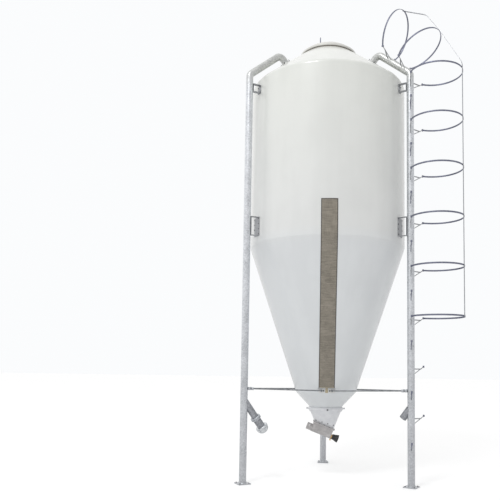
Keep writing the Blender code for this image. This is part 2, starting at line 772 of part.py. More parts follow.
def make_fill(leg, cast, axis):
    """The fill branch welded to its leg, its coupling with a neck, and the cap that closes it."""
    start, direction, across = branch_line("left", FILL_BRANCH_Z)
    outline = [(0.0, BRANCH_RADIUS), (FILL_BRANCH_END, BRANCH_RADIUS)]
    branch = loft(branch_loops(start, direction, across, outline))
    join(leg, [finish("fill_branch", branch, None, axis, helper=True)])

    near = FILL_BRANCH_END + GAP
    rim = near + COUPLING_LENGTH
    outline = [(near, COUPLING_RADIUS), (rim, COUPLING_RADIUS), (rim, NECK_RADIUS)]
    outline.append((NECK_END, NECK_RADIUS))
    finish("fill_coupling", loft(branch_loops(start, direction, across, outline)), cast, axis)

    near = NECK_END + GAP
    outline = [(near, CAP_RADIUS - 0.004), (near + 0.004, CAP_RADIUS)]
    outline += [(near + 0.052, CAP_RADIUS), (near + 0.060, 0.056), (near + 0.094, 0.052)]
    outline += [(near + 0.117, 0.034), (near + CAP_LENGTH, 0.012)]
    cap = finish("fill_cap", loft(branch_loops(start, direction, across, outline)), cast, axis)
    lugs = []
    for sign in (-1, 1):
        centre = start + direction * (near + 0.028) + across * (sign * (CAP_RADIUS + 0.004))
        basis = Matrix((across, direction.cross(across), direction)).transposed().to_4x4()
        lug = box((0.022, 0.020, 0.034), Matrix.Translation(centre) @ basis)
        lugs.append(finish(f"cap_lug{sign}", lug, None, axis, helper=True))
    join(cap, lugs)


def make_vent(leg, axis):
    """The open vent branch welded to its leg, a short cut pipe that points down."""
    start, direction, across = branch_line("right", VENT_BRANCH_Z)
    end = VENT_BRANCH_END
    outline = [(0.0, BRANCH_RADIUS), (end, BRANCH_RADIUS)]
    branch = loft(branch_loops(start, direction, across, outline))
    bore_radius = BRANCH_RADIUS - PIPE_WALL
    outline = [(0.060, bore_radius), (end + 0.020, bore_radius)]
    bore = loft(branch_loops(start, direction, across, outline))
    join(leg, [finish("vent_branch", branch, None, axis, helper=True)])
    cut(leg, finish("vent_bore", bore, None, axis, helper=True))


def ladder_frame(foot, out, along):
    """Turns (outwards, sideways, along the pipe) about a point of the pipe into a place."""
    side = sideways(LEG_AZIMUTHS["right"])
    return lambda n, t, d: foot + out * n + side * t + along * d


def arm_pieces(name, at, sign, begin, axis):
    """Helpers for a braced arm from the pipe to a point beside it.

    A level rod leaves the pipe at this distance from the pipe's own axis. A brace that starts
    lower down passes its end and runs on up to the point.
    """
    reach = math.hypot(STEP_OUT, STEP_SIDE)
    brace_slope = math.atan2(BRACE_DROP, reach - begin)

    def along(share, rise):
        return at(STEP_OUT * share, sign * STEP_SIDE * share, rise)

    tread = rod(along(begin / reach, -TREAD_DROP), along(TREAD_REACH, -TREAD_DROP), STEP_ROD, 8)
    brace_share = (begin + BRACE_ROD * math.sin(brace_slope)) / reach
    brace = rod(along(brace_share, -BRACE_DROP), along(1, 0), BRACE_ROD, 8)
    return [
        finish(name + "_tread", tread, None, axis, helper=True),
        finish(name + "_brace", brace, None, axis, helper=True),
    ]


def step_pieces(name, z, sign, axis):
    """Helpers for one ladder step: a level rod with a brace under it and an upturned tip."""
    azimuth = LEG_AZIMUTHS["right"]
    at = ladder_frame(place(azimuth, LEG_CIRCLE, z), outward(azimuth), Vector((0, 0, 1)))
    low = at(STEP_OUT, sign * STEP_SIDE, -KNOB_HALF_HEIGHT)
    high = at(STEP_OUT, sign * STEP_SIDE, STEP_TIP_HEIGHT)
    tip = finish(name + "_tip", rod(low, high, STEP_TIP_RADIUS, 10, outward(0)), None, axis, True)
    return arm_pieces(name, at, sign, PIPE_RADIUS - STEP_ROD, axis) + [tip]


def make_hoop(name, foot, out, radius, along, steel, axis):
    """A hoop of flat bar, open towards the leg, on two arms braced along the pipe."""
    side = sideways(LEG_AZIMUTHS["right"])
    at = ladder_frame(foot, out, out.cross(side))
    middle = STEP_OUT + math.sqrt(radius**2 - STEP_SIDE**2)
    open_angle = math.atan2(STEP_SIDE, STEP_OUT - middle)
    loops = []
    for i in range(HOOP_SEGMENTS + 1):
        angle = open_angle * (2 * i / HOOP_SEGMENTS - 1)
        loop = []
        for u, v in ((-1, -1), (1, -1), (1, 1), (-1, 1)):
            reach = radius + v * HOOP_BAR_THICKNESS / 2
            n = middle + reach * math.cos(angle)
            loop.append(at(n, reach * math.sin(angle), u * HOOP_BAR_WIDTH / 2))
        loops.append(loop)
    hoop = finish(name, loft(loops), steel, axis)
    by_pipe = ladder_frame(foot, out, along)
    lean = out.dot(along) * STEP_OUT / math.hypot(STEP_OUT, STEP_SIDE)
    begin = (PIPE_RADIUS + 2.5 * GAP) / math.sqrt(1 - lean**2) + STEP_ROD * abs(lean)
    pieces = []
    for sign in (-1, 1):
        label = f"{name}_arm{sign}"
        low = at(STEP_OUT, sign * STEP_SIDE, -KNOB_HALF_HEIGHT)
        high = at(STEP_OUT, sign * STEP_SIDE, KNOB_HALF_HEIGHT)
        knob = rod(low, high, STEP_TIP_RADIUS, 10, out)
        pieces += arm_pieces(label, by_pipe, sign, begin, axis)
        pieces.append(finish(label + "_knob", knob, None, axis, helper=True))
    join(hoop, pieces)


def over_point(distance):
    """A point on the axis of the right leg's pipe over the roof, this far past its bend."""
    level = LEG_CIRCLE - distance * math.cos(OVER_SLOPE)
    return place(LEG_AZIMUTHS["right"], level, BEND_Z + distance * math.sin(OVER_SLOPE))


def lean_out(lean):
    """The unit vector in the right leg's own plane that rises outwards at this angle."""
    up = Vector((0, 0, 1))
    return outward(LEG_AZIMUTHS["right"]) * math.cos(lean) + up * math.sin(lean)


def make_ladder(leg, steel, axis):
    """Steps on alternate sides of the right leg, and the cage of hoops around them."""
    azimuth = LEG_AZIMUTHS["right"]
    lowest_hoop = HOOP_TOP_Z - (HOOP_COUNT - 1) * HOOP_STEP
    places = round((HOOP_TOP_Z - LOWEST_STEP_Z) / (HOOP_STEP / 2)) + 1
    for number in range(places):
        z = LOWEST_STEP_Z + number * HOOP_STEP / 2
        sign = -1 if number % 2 == 0 else 1
        if sign == 1 and z > lowest_hoop - GAP:
            continue
        join(leg, step_pieces(f"step_{number + 1}", z, sign, axis))
    for i in range(HOOP_COUNT):
        foot = place(azimuth, LEG_CIRCLE, HOOP_TOP_Z - i * HOOP_STEP)
        name = f"hoop_{HOOP_COUNT - i}"
        make_hoop(name, foot, outward(azimuth), HOOP_RADIUS, Vector((0, 0, 1)), steel, axis)
    up_pipe = (over_point(1) - over_point(0)).normalized()
    for name, (distance, lean) in TILTED_HOOPS.items():
        make_hoop(name, over_point(distance), lean_out(lean), TILTED_RADIUS, up_pipe, steel, axis)


def hoop_reach(radius):
    """How far from the pipe's axis the outer face of a hoop of this radius lies."""
    return STEP_OUT + math.sqrt(radius**2 - STEP_SIDE**2) + radius + HOOP_BAR_THICKNESS / 2


def make_cage_bar(steel, axis):
    """One flat bar down the outside of every hoop."""
    azimuth = LEG_AZIMUTHS["right"]
    clear = GAP + BAR_THICKNESS / 2
    straight = LEG_CIRCLE + hoop_reach(HOOP_RADIUS) + clear
    over_bend, over_roof = (
        over_point(distance) + lean_out(lean) * (hoop_reach(TILTED_RADIUS) + clear + BAR_SLACK)
        for distance, lean in TILTED_HOOPS.values()
    )
    knee = place(azimuth, *BAR_KNEE)
    past = over_roof + (over_roof - knee).normalized() * 0.030
    corners = [place(azimuth, straight, BAR_LOW_Z), place(azimuth, straight, BAR_BEND_Z)]
    corners += [over_bend, knee, past]
    path = rounded_path(corners, BAR_BEND_RADIUS)
    loops = flat_bar_loops(path, BAR_WIDTH, BAR_THICKNESS, sideways(azimuth))
    finish("cage_bar", loft(loops), steel, axis)


def main():
    clear_scene()
    axis = bpy.data.objects.new("silo_axis", None)
    axis.location = (SILO_X, SILO_Y, 0)
    bpy.context.scene.collection.objects.link(axis)

    shell = material("painted_fibreglass", (0.78, 0.79, 0.78), 0.45)
    strip = material("bare_fibreglass", (0.27, 0.24, 0.17), 0.40)
    steel = material("galvanised_steel", (0.55, 0.58, 0.60), 0.45, metallic=0.8)
    sheet = material("zinc_sheet", (0.70, 0.72, 0.74), 0.35, metallic=0.6)
    cast = material("cast_aluminium", (0.60, 0.61, 0.62), 0.40, metallic=0.8)
    rubber = material("gasket_rubber", (0.16, 0.14, 0.12), 0.80)
    brass = material("brass", (0.58, 0.38, 0.12), 0.35, metallic=0.9)
    black = material("black_plastic", (0.02, 0.02, 0.02), 0.45)

    make_shell(shell, axis)
    rim_top = make_roof(shell, axis)
    lid_rim = make_lid(shell, rubber, steel, axis, rim_top)
    make_hinge(steel, axis, lid_rim)
    make_cones(shell, axis)
    make_strip(strip, axis)
    tops = {"left": leg_top_z(), "right": leg_top_z(), "rear": REAR_TOP_Z}
    legs = {side: make_leg(side, top, steel, axis) for side, top in tops.items()}
    for side in ("left", "right"):
        make_over_pipe(side, steel, axis)
    for level in BRACKET_LEVELS:
        for side in LEG_AZIMUTHS:
            make_bracket(level, side, steel, axis)
    for name, sides in TIE_NAMES.items():
        make_tie(name, sides, steel, axis)
    make_outlet(steel, sheet, axis)
    make_boot(steel, brass, black, axis)
    make_fill(legs["left"], cast, axis)
    make_vent(legs["right"], axis)
    make_ladder(legs["right"], steel, axis)
    make_cage_bar(steel, axis)


main()
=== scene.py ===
# %% [markdown]
# # A pellet silo, dressed
#
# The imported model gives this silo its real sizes: a white glass-fibre shell on three
# galvanised pipe legs, a caged ladder up the right leg, and the outlet gear under the cone.
# Those solids are faceted and plain. This lesson lays smooth surfaces over them, each one
# a small formula in numpy, and gives every surface a finish made of shader nodes.

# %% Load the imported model
import math

import bmesh
import bpy
import numpy as np
from mathutils import Matrix, Vector


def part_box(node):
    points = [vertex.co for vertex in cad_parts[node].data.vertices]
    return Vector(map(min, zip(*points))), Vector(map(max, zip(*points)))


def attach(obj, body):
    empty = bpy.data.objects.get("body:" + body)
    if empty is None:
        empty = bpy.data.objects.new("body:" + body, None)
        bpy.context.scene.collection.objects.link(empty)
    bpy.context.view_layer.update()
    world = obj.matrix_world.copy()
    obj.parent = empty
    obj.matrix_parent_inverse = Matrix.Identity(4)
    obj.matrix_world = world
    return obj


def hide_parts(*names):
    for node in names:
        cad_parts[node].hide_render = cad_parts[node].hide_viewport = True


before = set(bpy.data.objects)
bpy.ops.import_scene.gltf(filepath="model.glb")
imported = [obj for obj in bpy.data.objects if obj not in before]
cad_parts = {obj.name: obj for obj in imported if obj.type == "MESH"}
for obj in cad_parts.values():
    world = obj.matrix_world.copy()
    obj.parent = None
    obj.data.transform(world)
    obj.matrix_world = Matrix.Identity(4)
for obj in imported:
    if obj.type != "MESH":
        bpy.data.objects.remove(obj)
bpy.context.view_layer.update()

# %% [markdown]
# ## Where things are
#
# Everything on the silo is measured from its own upright axis, as a turner would. The axis
# isn't at the origin, because the cage reaches out on one side, so we read its place from
# the roof's box. A point is then an azimuth in degrees, a distance from the axis and a
# height. Azimuth 0 is +X and the three legs stand at 210, 330 and 90.

# %% Places about the silo's axis
roof_low, roof_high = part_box("roof")
AXIS = np.array([(roof_low.x + roof_high.x) / 2, (roof_low.y + roof_high.y) / 2, 0.0])
UP = np.array([0.0, 0.0, 1.0])
LEG_AZIMUTHS = {"left": 210, "right": 330, "rear": 90}


def unit(vectors):
    """Each vector divided by its own length."""
    vectors = np.asarray(vectors, float)
    return vectors / np.linalg.norm(vectors, axis=-1, keepdims=True)


def outward(azimuth):
    """(cos a, sin a, 0), the level direction away from the axis."""
    return np.array([math.cos(math.radians(azimuth)), math.sin(math.radians(azimuth)), 0.0])


def sideways(azimuth):
    return outward(azimuth + 90)


def place(azimuth, radius, height):
    """The axis plus radius times outward, at this height. Arrays give rows of points."""
    radius, height = np.broadcast_arrays(np.asarray(radius, float), np.asarray(height, float))
    return AXIS + radius[..., None] * outward(azimuth) + height[..., None] * UP


print("silo axis at", AXIS.round(4))

# %% [markdown]
# ## Camera
#
# The photograph was taken from about eight metres in front, at chest height, with the
# camera tipped up a little and its frame shifted so that the silo stands at the right.
# A camera that is tipped makes upright pipes lean together, and a shifted frame doesn't,
# so both are kept: the tip is in the rotation and the rest is in the lens shift.

# %% Camera
FRAME_PIXELS = 500
FOCAL_PIXELS = 612.5
CENTRE_PIXELS = (281.3, 315.8)
EYE = np.array([-0.2357, -8.1089, 1.4585])
YAW = 0.0445
PITCH = 0.0777
ROLL = 0.0135
SENSOR = 36.0

ahead = np.array(
    [-math.sin(YAW) * math.cos(PITCH), math.cos(YAW) * math.cos(PITCH), math.sin(PITCH)]
)
level_right = np.array([math.cos(YAW), math.sin(YAW), 0.0])
level_up = np.cross(level_right, ahead)
right = math.cos(ROLL) * level_right + math.sin(ROLL) * level_up
up = -math.sin(ROLL) * level_right + math.cos(ROLL) * level_up

camera = bpy.data.objects.new("photo_camera", bpy.data.cameras.new("photo_camera"))
bpy.context.scene.collection.objects.link(camera)
turn = Matrix(np.column_stack([right, up, -ahead]).tolist()).to_4x4()
camera.matrix_world = Matrix.Translation(Vector(EYE + AXIS)) @ turn
camera.data.sensor_width = SENSOR
camera.data.lens = FOCAL_PIXELS / FRAME_PIXELS * SENSOR
camera.data.shift_x = (FRAME_PIXELS / 2 - CENTRE_PIXELS[0]) / FRAME_PIXELS
camera.data.shift_y = (CENTRE_PIXELS[1] - FRAME_PIXELS / 2) / FRAME_PIXELS
camera.data.clip_end = 200
bpy.context.scene.camera = camera
print("lens", round(camera.data.lens, 1), "mm")

# %% [markdown]
# ## Floor and light
#
# The silo stands in a white studio. Most of its light is the sky's own: brighter from above
# and from the left, so the shell's right side falls off to grey. One soft lamp high on the
# left puts the bright arc on the roof's shoulder. Where the camera looks straight at the sky
# it is plain white.

# %% Floor, lamps and sky
FLOOR_HALF = 60.0
FLOOR_POINTS = 9
FLOOR_TONE = 0.72
FLOOR_GLOW = 0.33
FLOOR_BOUNCE = 0.82


def make_floor():
    """A grid of points (x, y, 0) out to FLOOR_HALF each way."""
    steps = np.linspace(-FLOOR_HALF, FLOOR_HALF, FLOOR_POINTS)
    x, y = np.meshgrid(steps, steps, indexing="ij")
    points = np.stack([x, y, np.zeros_like(x)], -1).reshape(-1, 3)
    index = np.arange(FLOOR_POINTS**2).reshape(FLOOR_POINTS, FLOOR_POINTS)
    quads = np.stack([index[:-1, :-1], index[1:, :-1], index[1:, 1:], index[:-1, 1:]], -1)
    mesh = bpy.data.meshes.new("studio_floor")
    mesh.from_pydata(points, [], quads.reshape(-1, 4).tolist())
    floor = bpy.data.objects.new("studio_floor", mesh)
    bpy.context.scene.collection.objects.link(floor)
    paint = bpy.data.materials.new("pale_floor")
    paint.use_nodes = True
    shader = paint.node_tree.nodes["Principled BSDF"]
    shader.inputs["Base Color"].default_value = (FLOOR_TONE, FLOOR_TONE, FLOOR_TONE, 1)
    shader.inputs["Roughness"].default_value = 0.9
    shader.inputs["Specular IOR Level"].default_value = 0.1
    shader.inputs["Emission Color"].default_value = (1, 1, 1, 1)
    shader.inputs["Emission Strength"].default_value = FLOOR_GLOW
    grey = paint.node_tree.nodes.new("ShaderNodeBsdfDiffuse")
    grey.inputs["Color"].default_value = (FLOOR_BOUNCE, FLOOR_BOUNCE, FLOOR_BOUNCE, 1)
    path = paint.node_tree.nodes.new("ShaderNodeLightPath")
    choose = paint.node_tree.nodes.new("ShaderNodeMixShader")
    out = paint.node_tree.nodes["Material Output"]
    paint.node_tree.links.new(path.outputs["Is Camera Ray"], choose.inputs["Fac"])
    paint.node_tree.links.new(grey.outputs["BSDF"], choose.inputs[1])
    paint.node_tree.links.new(shader.outputs["BSDF"], choose.inputs[2])
    paint.node_tree.links.new(choose.outputs["Shader"], out.inputs["Surface"])
    mesh.materials.append(paint)


def add_lamp(name, where, target, size, watts, colour=(1, 1, 1)):
    lamp = bpy.data.lights.new(name, "AREA")
    lamp.shape = "DISK"
    lamp.size = size
    lamp.energy = watts
    lamp.color = colour
    holder = bpy.data.objects.new(name, lamp)
    bpy.context.scene.collection.objects.link(holder)
    holder.location = where
    aim = Vector(target) - Vector(where)
    holder.rotation_euler = aim.to_track_quat("-Z", "Y").to_euler()


def make_sky(seen, cast, slope):
    """White to the camera. As a lamp it is cast plus slope . direction."""
    world = bpy.data.worlds.new("studio_sky")
    bpy.context.scene.world = world
    world.use_nodes = True
    nodes, links = world.node_tree.nodes, world.node_tree.links
    nodes.clear()
    direction = nodes.new("ShaderNodeTexCoord")
    weigh = nodes.new("ShaderNodeVectorMath")
    weigh.operation = "DOT_PRODUCT"
    weigh.inputs[1].default_value = slope
    lift = nodes.new("ShaderNodeMath")
    lift.inputs[1].default_value = cast
    links.new(direction.outputs["Generated"], weigh.inputs[0])
    links.new(weigh.outputs["Value"], lift.inputs[0])
    glow = nodes.new("ShaderNodeBackground")
    links.new(lift.outputs[0], glow.inputs["Strength"])
    behind = nodes.new("ShaderNodeBackground")
    behind.inputs["Color"].default_value = (*seen, 1)
    for light in (glow, behind):
        light.label = "soft sky"
    path = nodes.new("ShaderNodeLightPath")
    mix = nodes.new("ShaderNodeMixShader")
    out = nodes.new("ShaderNodeOutputWorld")
    links.new(path.outputs["Is Camera Ray"], mix.inputs["Fac"])
    links.new(glow.outputs["Background"], mix.inputs[1])
    links.new(behind.outputs["Background"], mix.inputs[2])
    links.new(mix.outputs["Shader"], out.inputs["Surface"])


make_floor()
make_sky(seen=(0.965, 0.975, 0.985), cast=0.97, slope=(-0.17, 0.08, 0.26))
add_lamp("key", (-4.5, -8.5, 13.0), (-0.3, 0, 3.5), 3.5, 420)
bpy.context.scene.view_settings.view_transform = "Standard"
print("floor, sky and one lamp")

# %% [markdown]
# ## Surfaces from arrays
#
# Every shape here is a grid of points: rows along one way, columns along the other. A
# turned part is a profile at each of many angles, and a pipe is a ring of points at each
# place along a path. One function joins neighbours into quads, closes the ends, and checks
# by its signed volume that the faces look outwards.

# %% Grids, turned parts and bars
def skin(grid, ring=True, loop=False):
    """Quads between neighbouring points of grid[row, column].

    With ring the last column meets the first. With loop the last row meets the first, and
    otherwise the first and last rows are closed by one face each. The volume is a sixth of
    the sum of a . (b x c) over its triangles, and the faces are turned round if it is
    negative.
    """
    rows, columns = grid.shape[:2]
    index = np.arange(rows * columns).reshape(rows, columns)
    ends = [index[0], index[-1][::-1]]
    if loop:
        index = np.vstack([index, index[:1]])
    if ring:
        index = np.hstack([index, index[:, :1]])
    quads = np.stack([index[:-1, :-1], index[1:, :-1], index[1:, 1:], index[:-1, 1:]], -1)
    quads = quads.reshape(-1, 4)
    points = grid.reshape(-1, 3)
    a, b, c, d = (points[quads[:, k]] for k in range(4))
    volume = np.sum(a * np.cross(b, c)) + np.sum(a * np.cross(c, d))
    faces = quads.tolist()
    if not loop:
        for end in ends:
            fan = points[end]
            volume += np.sum(fan[:1] * np.cross(fan[1:-1], fan[2:]))
            faces.append(end.tolist())
    if volume < 0:
        faces = [face[::-1] for face in faces]
    return points, faces


def spun(profile, start, along, sides=48, loop=False, wave=None):
    """Turns a profile of (distance, radius) about the line from start in direction along.

    Point = start + along * distance + radius * (cos t * across + sin t * up), and wave(t)
    may scale the radius.
    """
    profile = np.asarray(profile, float)
    along = unit(along)
    hint = UP if abs(along[2]) < 0.9 else np.array([1.0, 0.0, 0.0])
    across = unit(np.cross(hint, along))
    rise = np.cross(along, across)
    angle = (np.arange(sides) + 0.5) * 2 * np.pi / sides
    around = np.cos(angle)[:, None] * across + np.sin(angle)[:, None] * rise
    swell = np.ones(sides) if wave is None else wave(angle)
    radius = profile[:, 1, None] * swell
    grid = start + profile[:, 0, None, None] * along + radius[..., None] * around
    return skin(grid, loop=loop)


def tangents(path):
    """At each point, the mean direction of the two stretches that meet there."""
    runs = unit(np.diff(path, axis=0))
    return unit(np.vstack([runs[:1], runs[:-1] + runs[1:], runs[-1:]]))


def carried(path, outline, level):
    """Carries a flat outline along a path that lies in the plane square to level.

    Point = path + u * level + v * (tangent x level), for each (u, v) of the outline.
    """
    side = np.cross(tangents(path), level)
    grid = path[:, None] + outline[None, :, :1] * level + outline[None, :, 1:] * side[:, None]
    return skin(grid)


def round_outline(radius, sides=40):
    angle = (np.arange(sides) + 0.5) * 2 * np.pi / sides
    return radius * np.stack([np.cos(angle), np.sin(angle)], -1)


def rounded_rectangle(width, height, radius, steps=4):
    """Four quarter circles of this radius, one about each inner corner, in order."""
    quarter = np.linspace(0, np.pi / 2, steps + 1)
    angle = (quarter[None] + np.arange(4)[:, None] * np.pi / 2).reshape(-1)
    signs = np.repeat(np.array([(1, 1), (-1, 1), (-1, -1), (1, -1)]), steps + 1, axis=0)
    middle = signs * np.array([width / 2 - radius, height / 2 - radius])
    return middle + radius * np.stack([np.cos(angle), np.sin(angle)], -1)


def pressed(outline, thickness, bevel, origin, x_axis, y_axis):
    """A plate of this outline, its edges bevelled by drawing in the first and last row."""
    normal = np.cross(x_axis, y_axis)
    size = np.abs(outline).max(0)
    shrink = (size - bevel) / size
    heights = np.array([0, bevel, thickness - bevel, thickness])
    scales = np.array([shrink, (1, 1), (1, 1), shrink])
    flat = outline[None] * scales[:, None]
    grid = origin + flat[..., :1] * x_axis + flat[..., 1:] * y_axis
    return skin(grid + heights[:, None, None] * normal)


def rounded(corners, radii, steps=8):
    """A path through corners, with each inner corner replaced by a circular arc.

    The arc's points are the centre plus the shortest turn from its start to its end.
    """
    corners = np.asarray(corners, float)
    share = np.linspace(0, 1, steps + 1)[:, None]
    path = [corners[:1]]
    for before, corner, after, radius in zip(corners, corners[1:], corners[2:], radii):
        back, on = unit(before - corner), unit(after - corner)
        half = (np.pi - np.arccos(back @ on)) / 2
        centre = corner + unit(back + on) * radius / np.cos(half)
        start = corner + back * radius * np.tan(half) - centre
        end = corner + on * radius * np.tan(half) - centre
        weights = np.sin((1 - share) * 2 * half), np.sin(share * 2 * half)
        path.append(centre + (start * weights[0] + end * weights[1]) / np.sin(2 * half))
    return np.vstack(path + [corners[-1:]])


def rod(start, end, radius, sides=16):
    """A straight round bar with its two edges rubbed off."""
    start, end = np.asarray(start, float), np.asarray(end, float)
    length = np.linalg.norm(end - start)
    rub = radius * 0.2
    profile = [(0, radius - rub), (rub, radius), (length - rub, radius), (length, radius - rub)]
    return spun(profile, start, end - start, sides)


def bolt(where, out, size=0.012, shank=0.0):
    """A washer and a six-sided head, and a stub of thread above it."""
    out = unit(out)
    washer = spun([(0, size * 1.15), (size * 0.2, size * 1.15)], where, out, 20)
    base = where + out * size * 0.2
    head = spun([(0, size), (size * 0.6, size), (size * 0.75, size * 0.82)], base, out, 6)
    if not shank:
        return [washer, head]
    return [washer, head, rod(where, where + out * (size + shank), size * 0.5, 12)]


# %% [markdown]
# ## From arrays to objects
#
# A piece may hold several closed shapes. They are stacked into one mesh, doubled points at
# poles are merged, and the edges that turn sharply keep a hard shade while the rest is
# smooth. Each object stays at the origin with its place in its mesh.

# %% Making a piece
SHARP_ANGLE = math.radians(34)
made = {}


def put(name, shapes, paint, body="silo", replaces=()):
    """Stacks shapes of (points, faces) into one object that rides on a body."""
    starts = np.cumsum([0] + [len(points) for points, _ in shapes[:-1]])
    points = np.vstack([points for points, _ in shapes])
    faces = [
        [int(start) + i for i in face] for start, (_, own) in zip(starts, shapes) for face in own
    ]
    mesh = bpy.data.meshes.new(name)
    mesh.from_pydata(points, [], faces)
    shape = bmesh.new()
    shape.from_mesh(mesh)
    bmesh.ops.remove_doubles(shape, verts=shape.verts, dist=1e-6)
    shape.to_mesh(mesh)
    shape.free()
    mesh.shade_smooth()
    mesh.set_sharp_from_angle(angle=SHARP_ANGLE)
    mesh.materials.append(paint)
    piece = bpy.data.objects.new(name, mesh)
    bpy.context.scene.collection.objects.link(piece)
    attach(piece, body)
    if replaces:
        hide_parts(*replaces)
    made[name] = len(mesh.polygons)
    return piece


# %% [markdown]
# ## Finishes
#
# A finish is a Principled shader whose colour, roughness and bump come from noise in the
# object's own metres. Small helpers add one node each, so a finish reads as a short list:
# where its patches are, how strong they are, and how fine its grain is.

# %% Node helpers
TALL = 6.0


def new_finish(name, colour, roughness, metallic=0.0, coat=0.0):
    paint = bpy.data.materials.new(name)
    paint.use_nodes = True
    shader = paint.node_tree.nodes["Principled BSDF"]
    shader.inputs["Base Color"].default_value = (*colour, 1)
    shader.inputs["Roughness"].default_value = roughness
    shader.inputs["Metallic"].default_value = metallic
    shader.inputs["Coat Weight"].default_value = coat
    shader.inputs["Coat Roughness"].default_value = 0.10
    return paint, shader


def node(paint, kind, values=None, **links):
    """A node with its values set, its inputs linked by name."""
    new = paint.node_tree.nodes.new(kind)
    for key, value in (values or {}).items():
        if key in new.inputs:
            new.inputs[key].default_value = value
        else:
            setattr(new, key, value)
    for key, source in links.items():
        paint.node_tree.links.new(source, new.inputs[key.replace("_", " ")])
    return new


def metres(paint, stretch=(1, 1, 1)):
    """Object coordinates, which are metres here, stretched along the axes."""
    where = node(paint, "ShaderNodeTexCoord")
    return node(
        paint, "ShaderNodeMapping", {"Scale": stretch}, Vector=where.outputs["Object"]
    ).outputs["Vector"]


def noise(paint, scale, detail=3.0, stretch=(1, 1, 1)):
    values = {"Scale": scale, "Detail": detail}
    return node(
        paint, "ShaderNodeTexNoise", values, Vector=metres(paint, stretch)
    ).outputs["Fac"]


def spangle(paint, scale):
    """Flat crystals, each of its own grey, as zinc freezes on steel."""
    cells = node(paint, "ShaderNodeTexVoronoi", {"Scale": scale}, Vector=metres(paint))
    return node(
        paint, "ShaderNodeSeparateColor", None, Color=cells.outputs["Color"]
    ).outputs["Red"]


def ramp(paint, source, stops):
    """Colours or greys at places from 0 to 1."""
    new = node(paint, "ShaderNodeValToRGB", None, Fac=source)
    marks = new.color_ramp.elements
    while len(marks) < len(stops):
        marks.new(0.5)
    for mark, (where, colour) in zip(marks, stops):
        mark.position = where
        mark.color = (*colour, 1) if len(colour) == 3 else (*(colour * 3), 1)
    return new.outputs["Color"]


def sum_of(paint, first, second, share):
    """first plus share times second."""
    both = node(paint, "ShaderNodeMath", {"operation": "MULTIPLY_ADD"})
    paint.node_tree.links.new(second, both.inputs[0])
    both.inputs[1].default_value = share
    paint.node_tree.links.new(first, both.inputs[2])
    return both.outputs[0]


def mean_of(paint, first, second, share=0.5):
    """first times (1 - share) plus second times share, so the result stays from 0 to 1."""
    new = node(paint, "ShaderNodeMix", {"data_type": "FLOAT"})
    new.inputs[0].default_value = share
    paint.node_tree.links.new(first, new.inputs[2])
    paint.node_tree.links.new(second, new.inputs[3])
    return new.outputs[0]


def mixed(paint, share, first, second, kind="MIX"):
    """A colour that goes from first to second by share, or to their product."""
    mix = node(paint, "ShaderNodeMix", {"data_type": "RGBA", "blend_type": kind})
    if isinstance(share, float):
        mix.inputs[0].default_value = share
    else:
        paint.node_tree.links.new(share, mix.inputs[0])
    for source, place_in in ((first, mix.inputs[6]), (second, mix.inputs[7])):
        if isinstance(source, tuple):
            place_in.default_value = (*source, 1)
        else:
            paint.node_tree.links.new(source, place_in)
    return mix.outputs[2]


def tinted(paint, colour, heights):
    """The colour times a tone that changes with height: (z, tone) pairs, z up to TALL."""
    where = node(paint, "ShaderNodeTexCoord").outputs["Object"]
    split = node(paint, "ShaderNodeSeparateXYZ", None, Vector=where)
    share = node(paint, "ShaderNodeMath", {"operation": "DIVIDE"})
    paint.node_tree.links.new(split.outputs["Z"], share.inputs[0])
    share.inputs[1].default_value = TALL
    tone = ramp(paint, share.outputs[0], [(z / TALL, tone) for z, tone in heights])
    return mixed(paint, 1.0, colour, tone, "MULTIPLY")


def wire(paint, shader, colour=None, rough=None, height=None, depth=0.001, strength=0.5):
    links = paint.node_tree.links
    if colour is not None:
        links.new(colour, shader.inputs["Base Color"])
    if rough is not None:
        links.new(rough, shader.inputs["Roughness"])
    if height is not None:
        bump = node(paint, "ShaderNodeBump", {"Distance": depth, "Strength": strength})
        links.new(height, bump.inputs["Height"])
        links.new(bump.outputs["Normal"], shader.inputs["Normal"])


# %% [markdown]
# ### White gel coat
#
# The shell is glass fibre with a white gel coat. It is glossy, slightly uneven like orange
# peel, cloudy over a hand's width, and rain has left faint upright streaks. Stretching the
# noise along Z makes the streaks, and a very shallow bump makes the peel. The sun has turned
# the upper half slightly cream, so the tone changes with height.

# %% Gel coat
AGED = [
    (0.9, (0.955, 0.975, 0.995)),
    (2.9, (0.965, 0.980, 0.995)),
    (3.1, (0.985, 0.985, 0.975)),
    (5.0, (0.985, 0.990, 0.945)),
    (5.6, (0.985, 0.985, 0.930)),
]


def make_gel_coat(name, white, coat=0.6):
    paint, shader = new_finish(name, white, 0.34, coat=coat)
    clouds = noise(paint, 1.6, 4)
    streaks = noise(paint, 5.0, 4, (1, 1, 0.12))
    grime = tuple(v * 0.95 for v in white)
    colour = ramp(paint, mean_of(paint, clouds, streaks, 0.45), [(0.40, grime), (0.58, white)])
    rough = ramp(paint, noise(paint, 9, 3), [(0.3, (0.30,)), (0.7, (0.40,))])
    peel = mean_of(paint, noise(paint, 55, 2), noise(paint, 7, 2), 0.7)
    wire(paint, shader, tinted(paint, colour, AGED), rough, peel, 0.0040, 0.30)
    return paint


gel_coat = make_gel_coat("gel_coat", (0.755, 0.765, 0.765))
# The lid's darker, beige-grey copy of the gel coat is painted shade.
shaded_lid_coat = make_gel_coat("lid_gel_coat_painted_shade", (0.69, 0.685, 0.69), coat=0.25)
print("gel coats:", gel_coat.name, shaded_lid_coat.name)
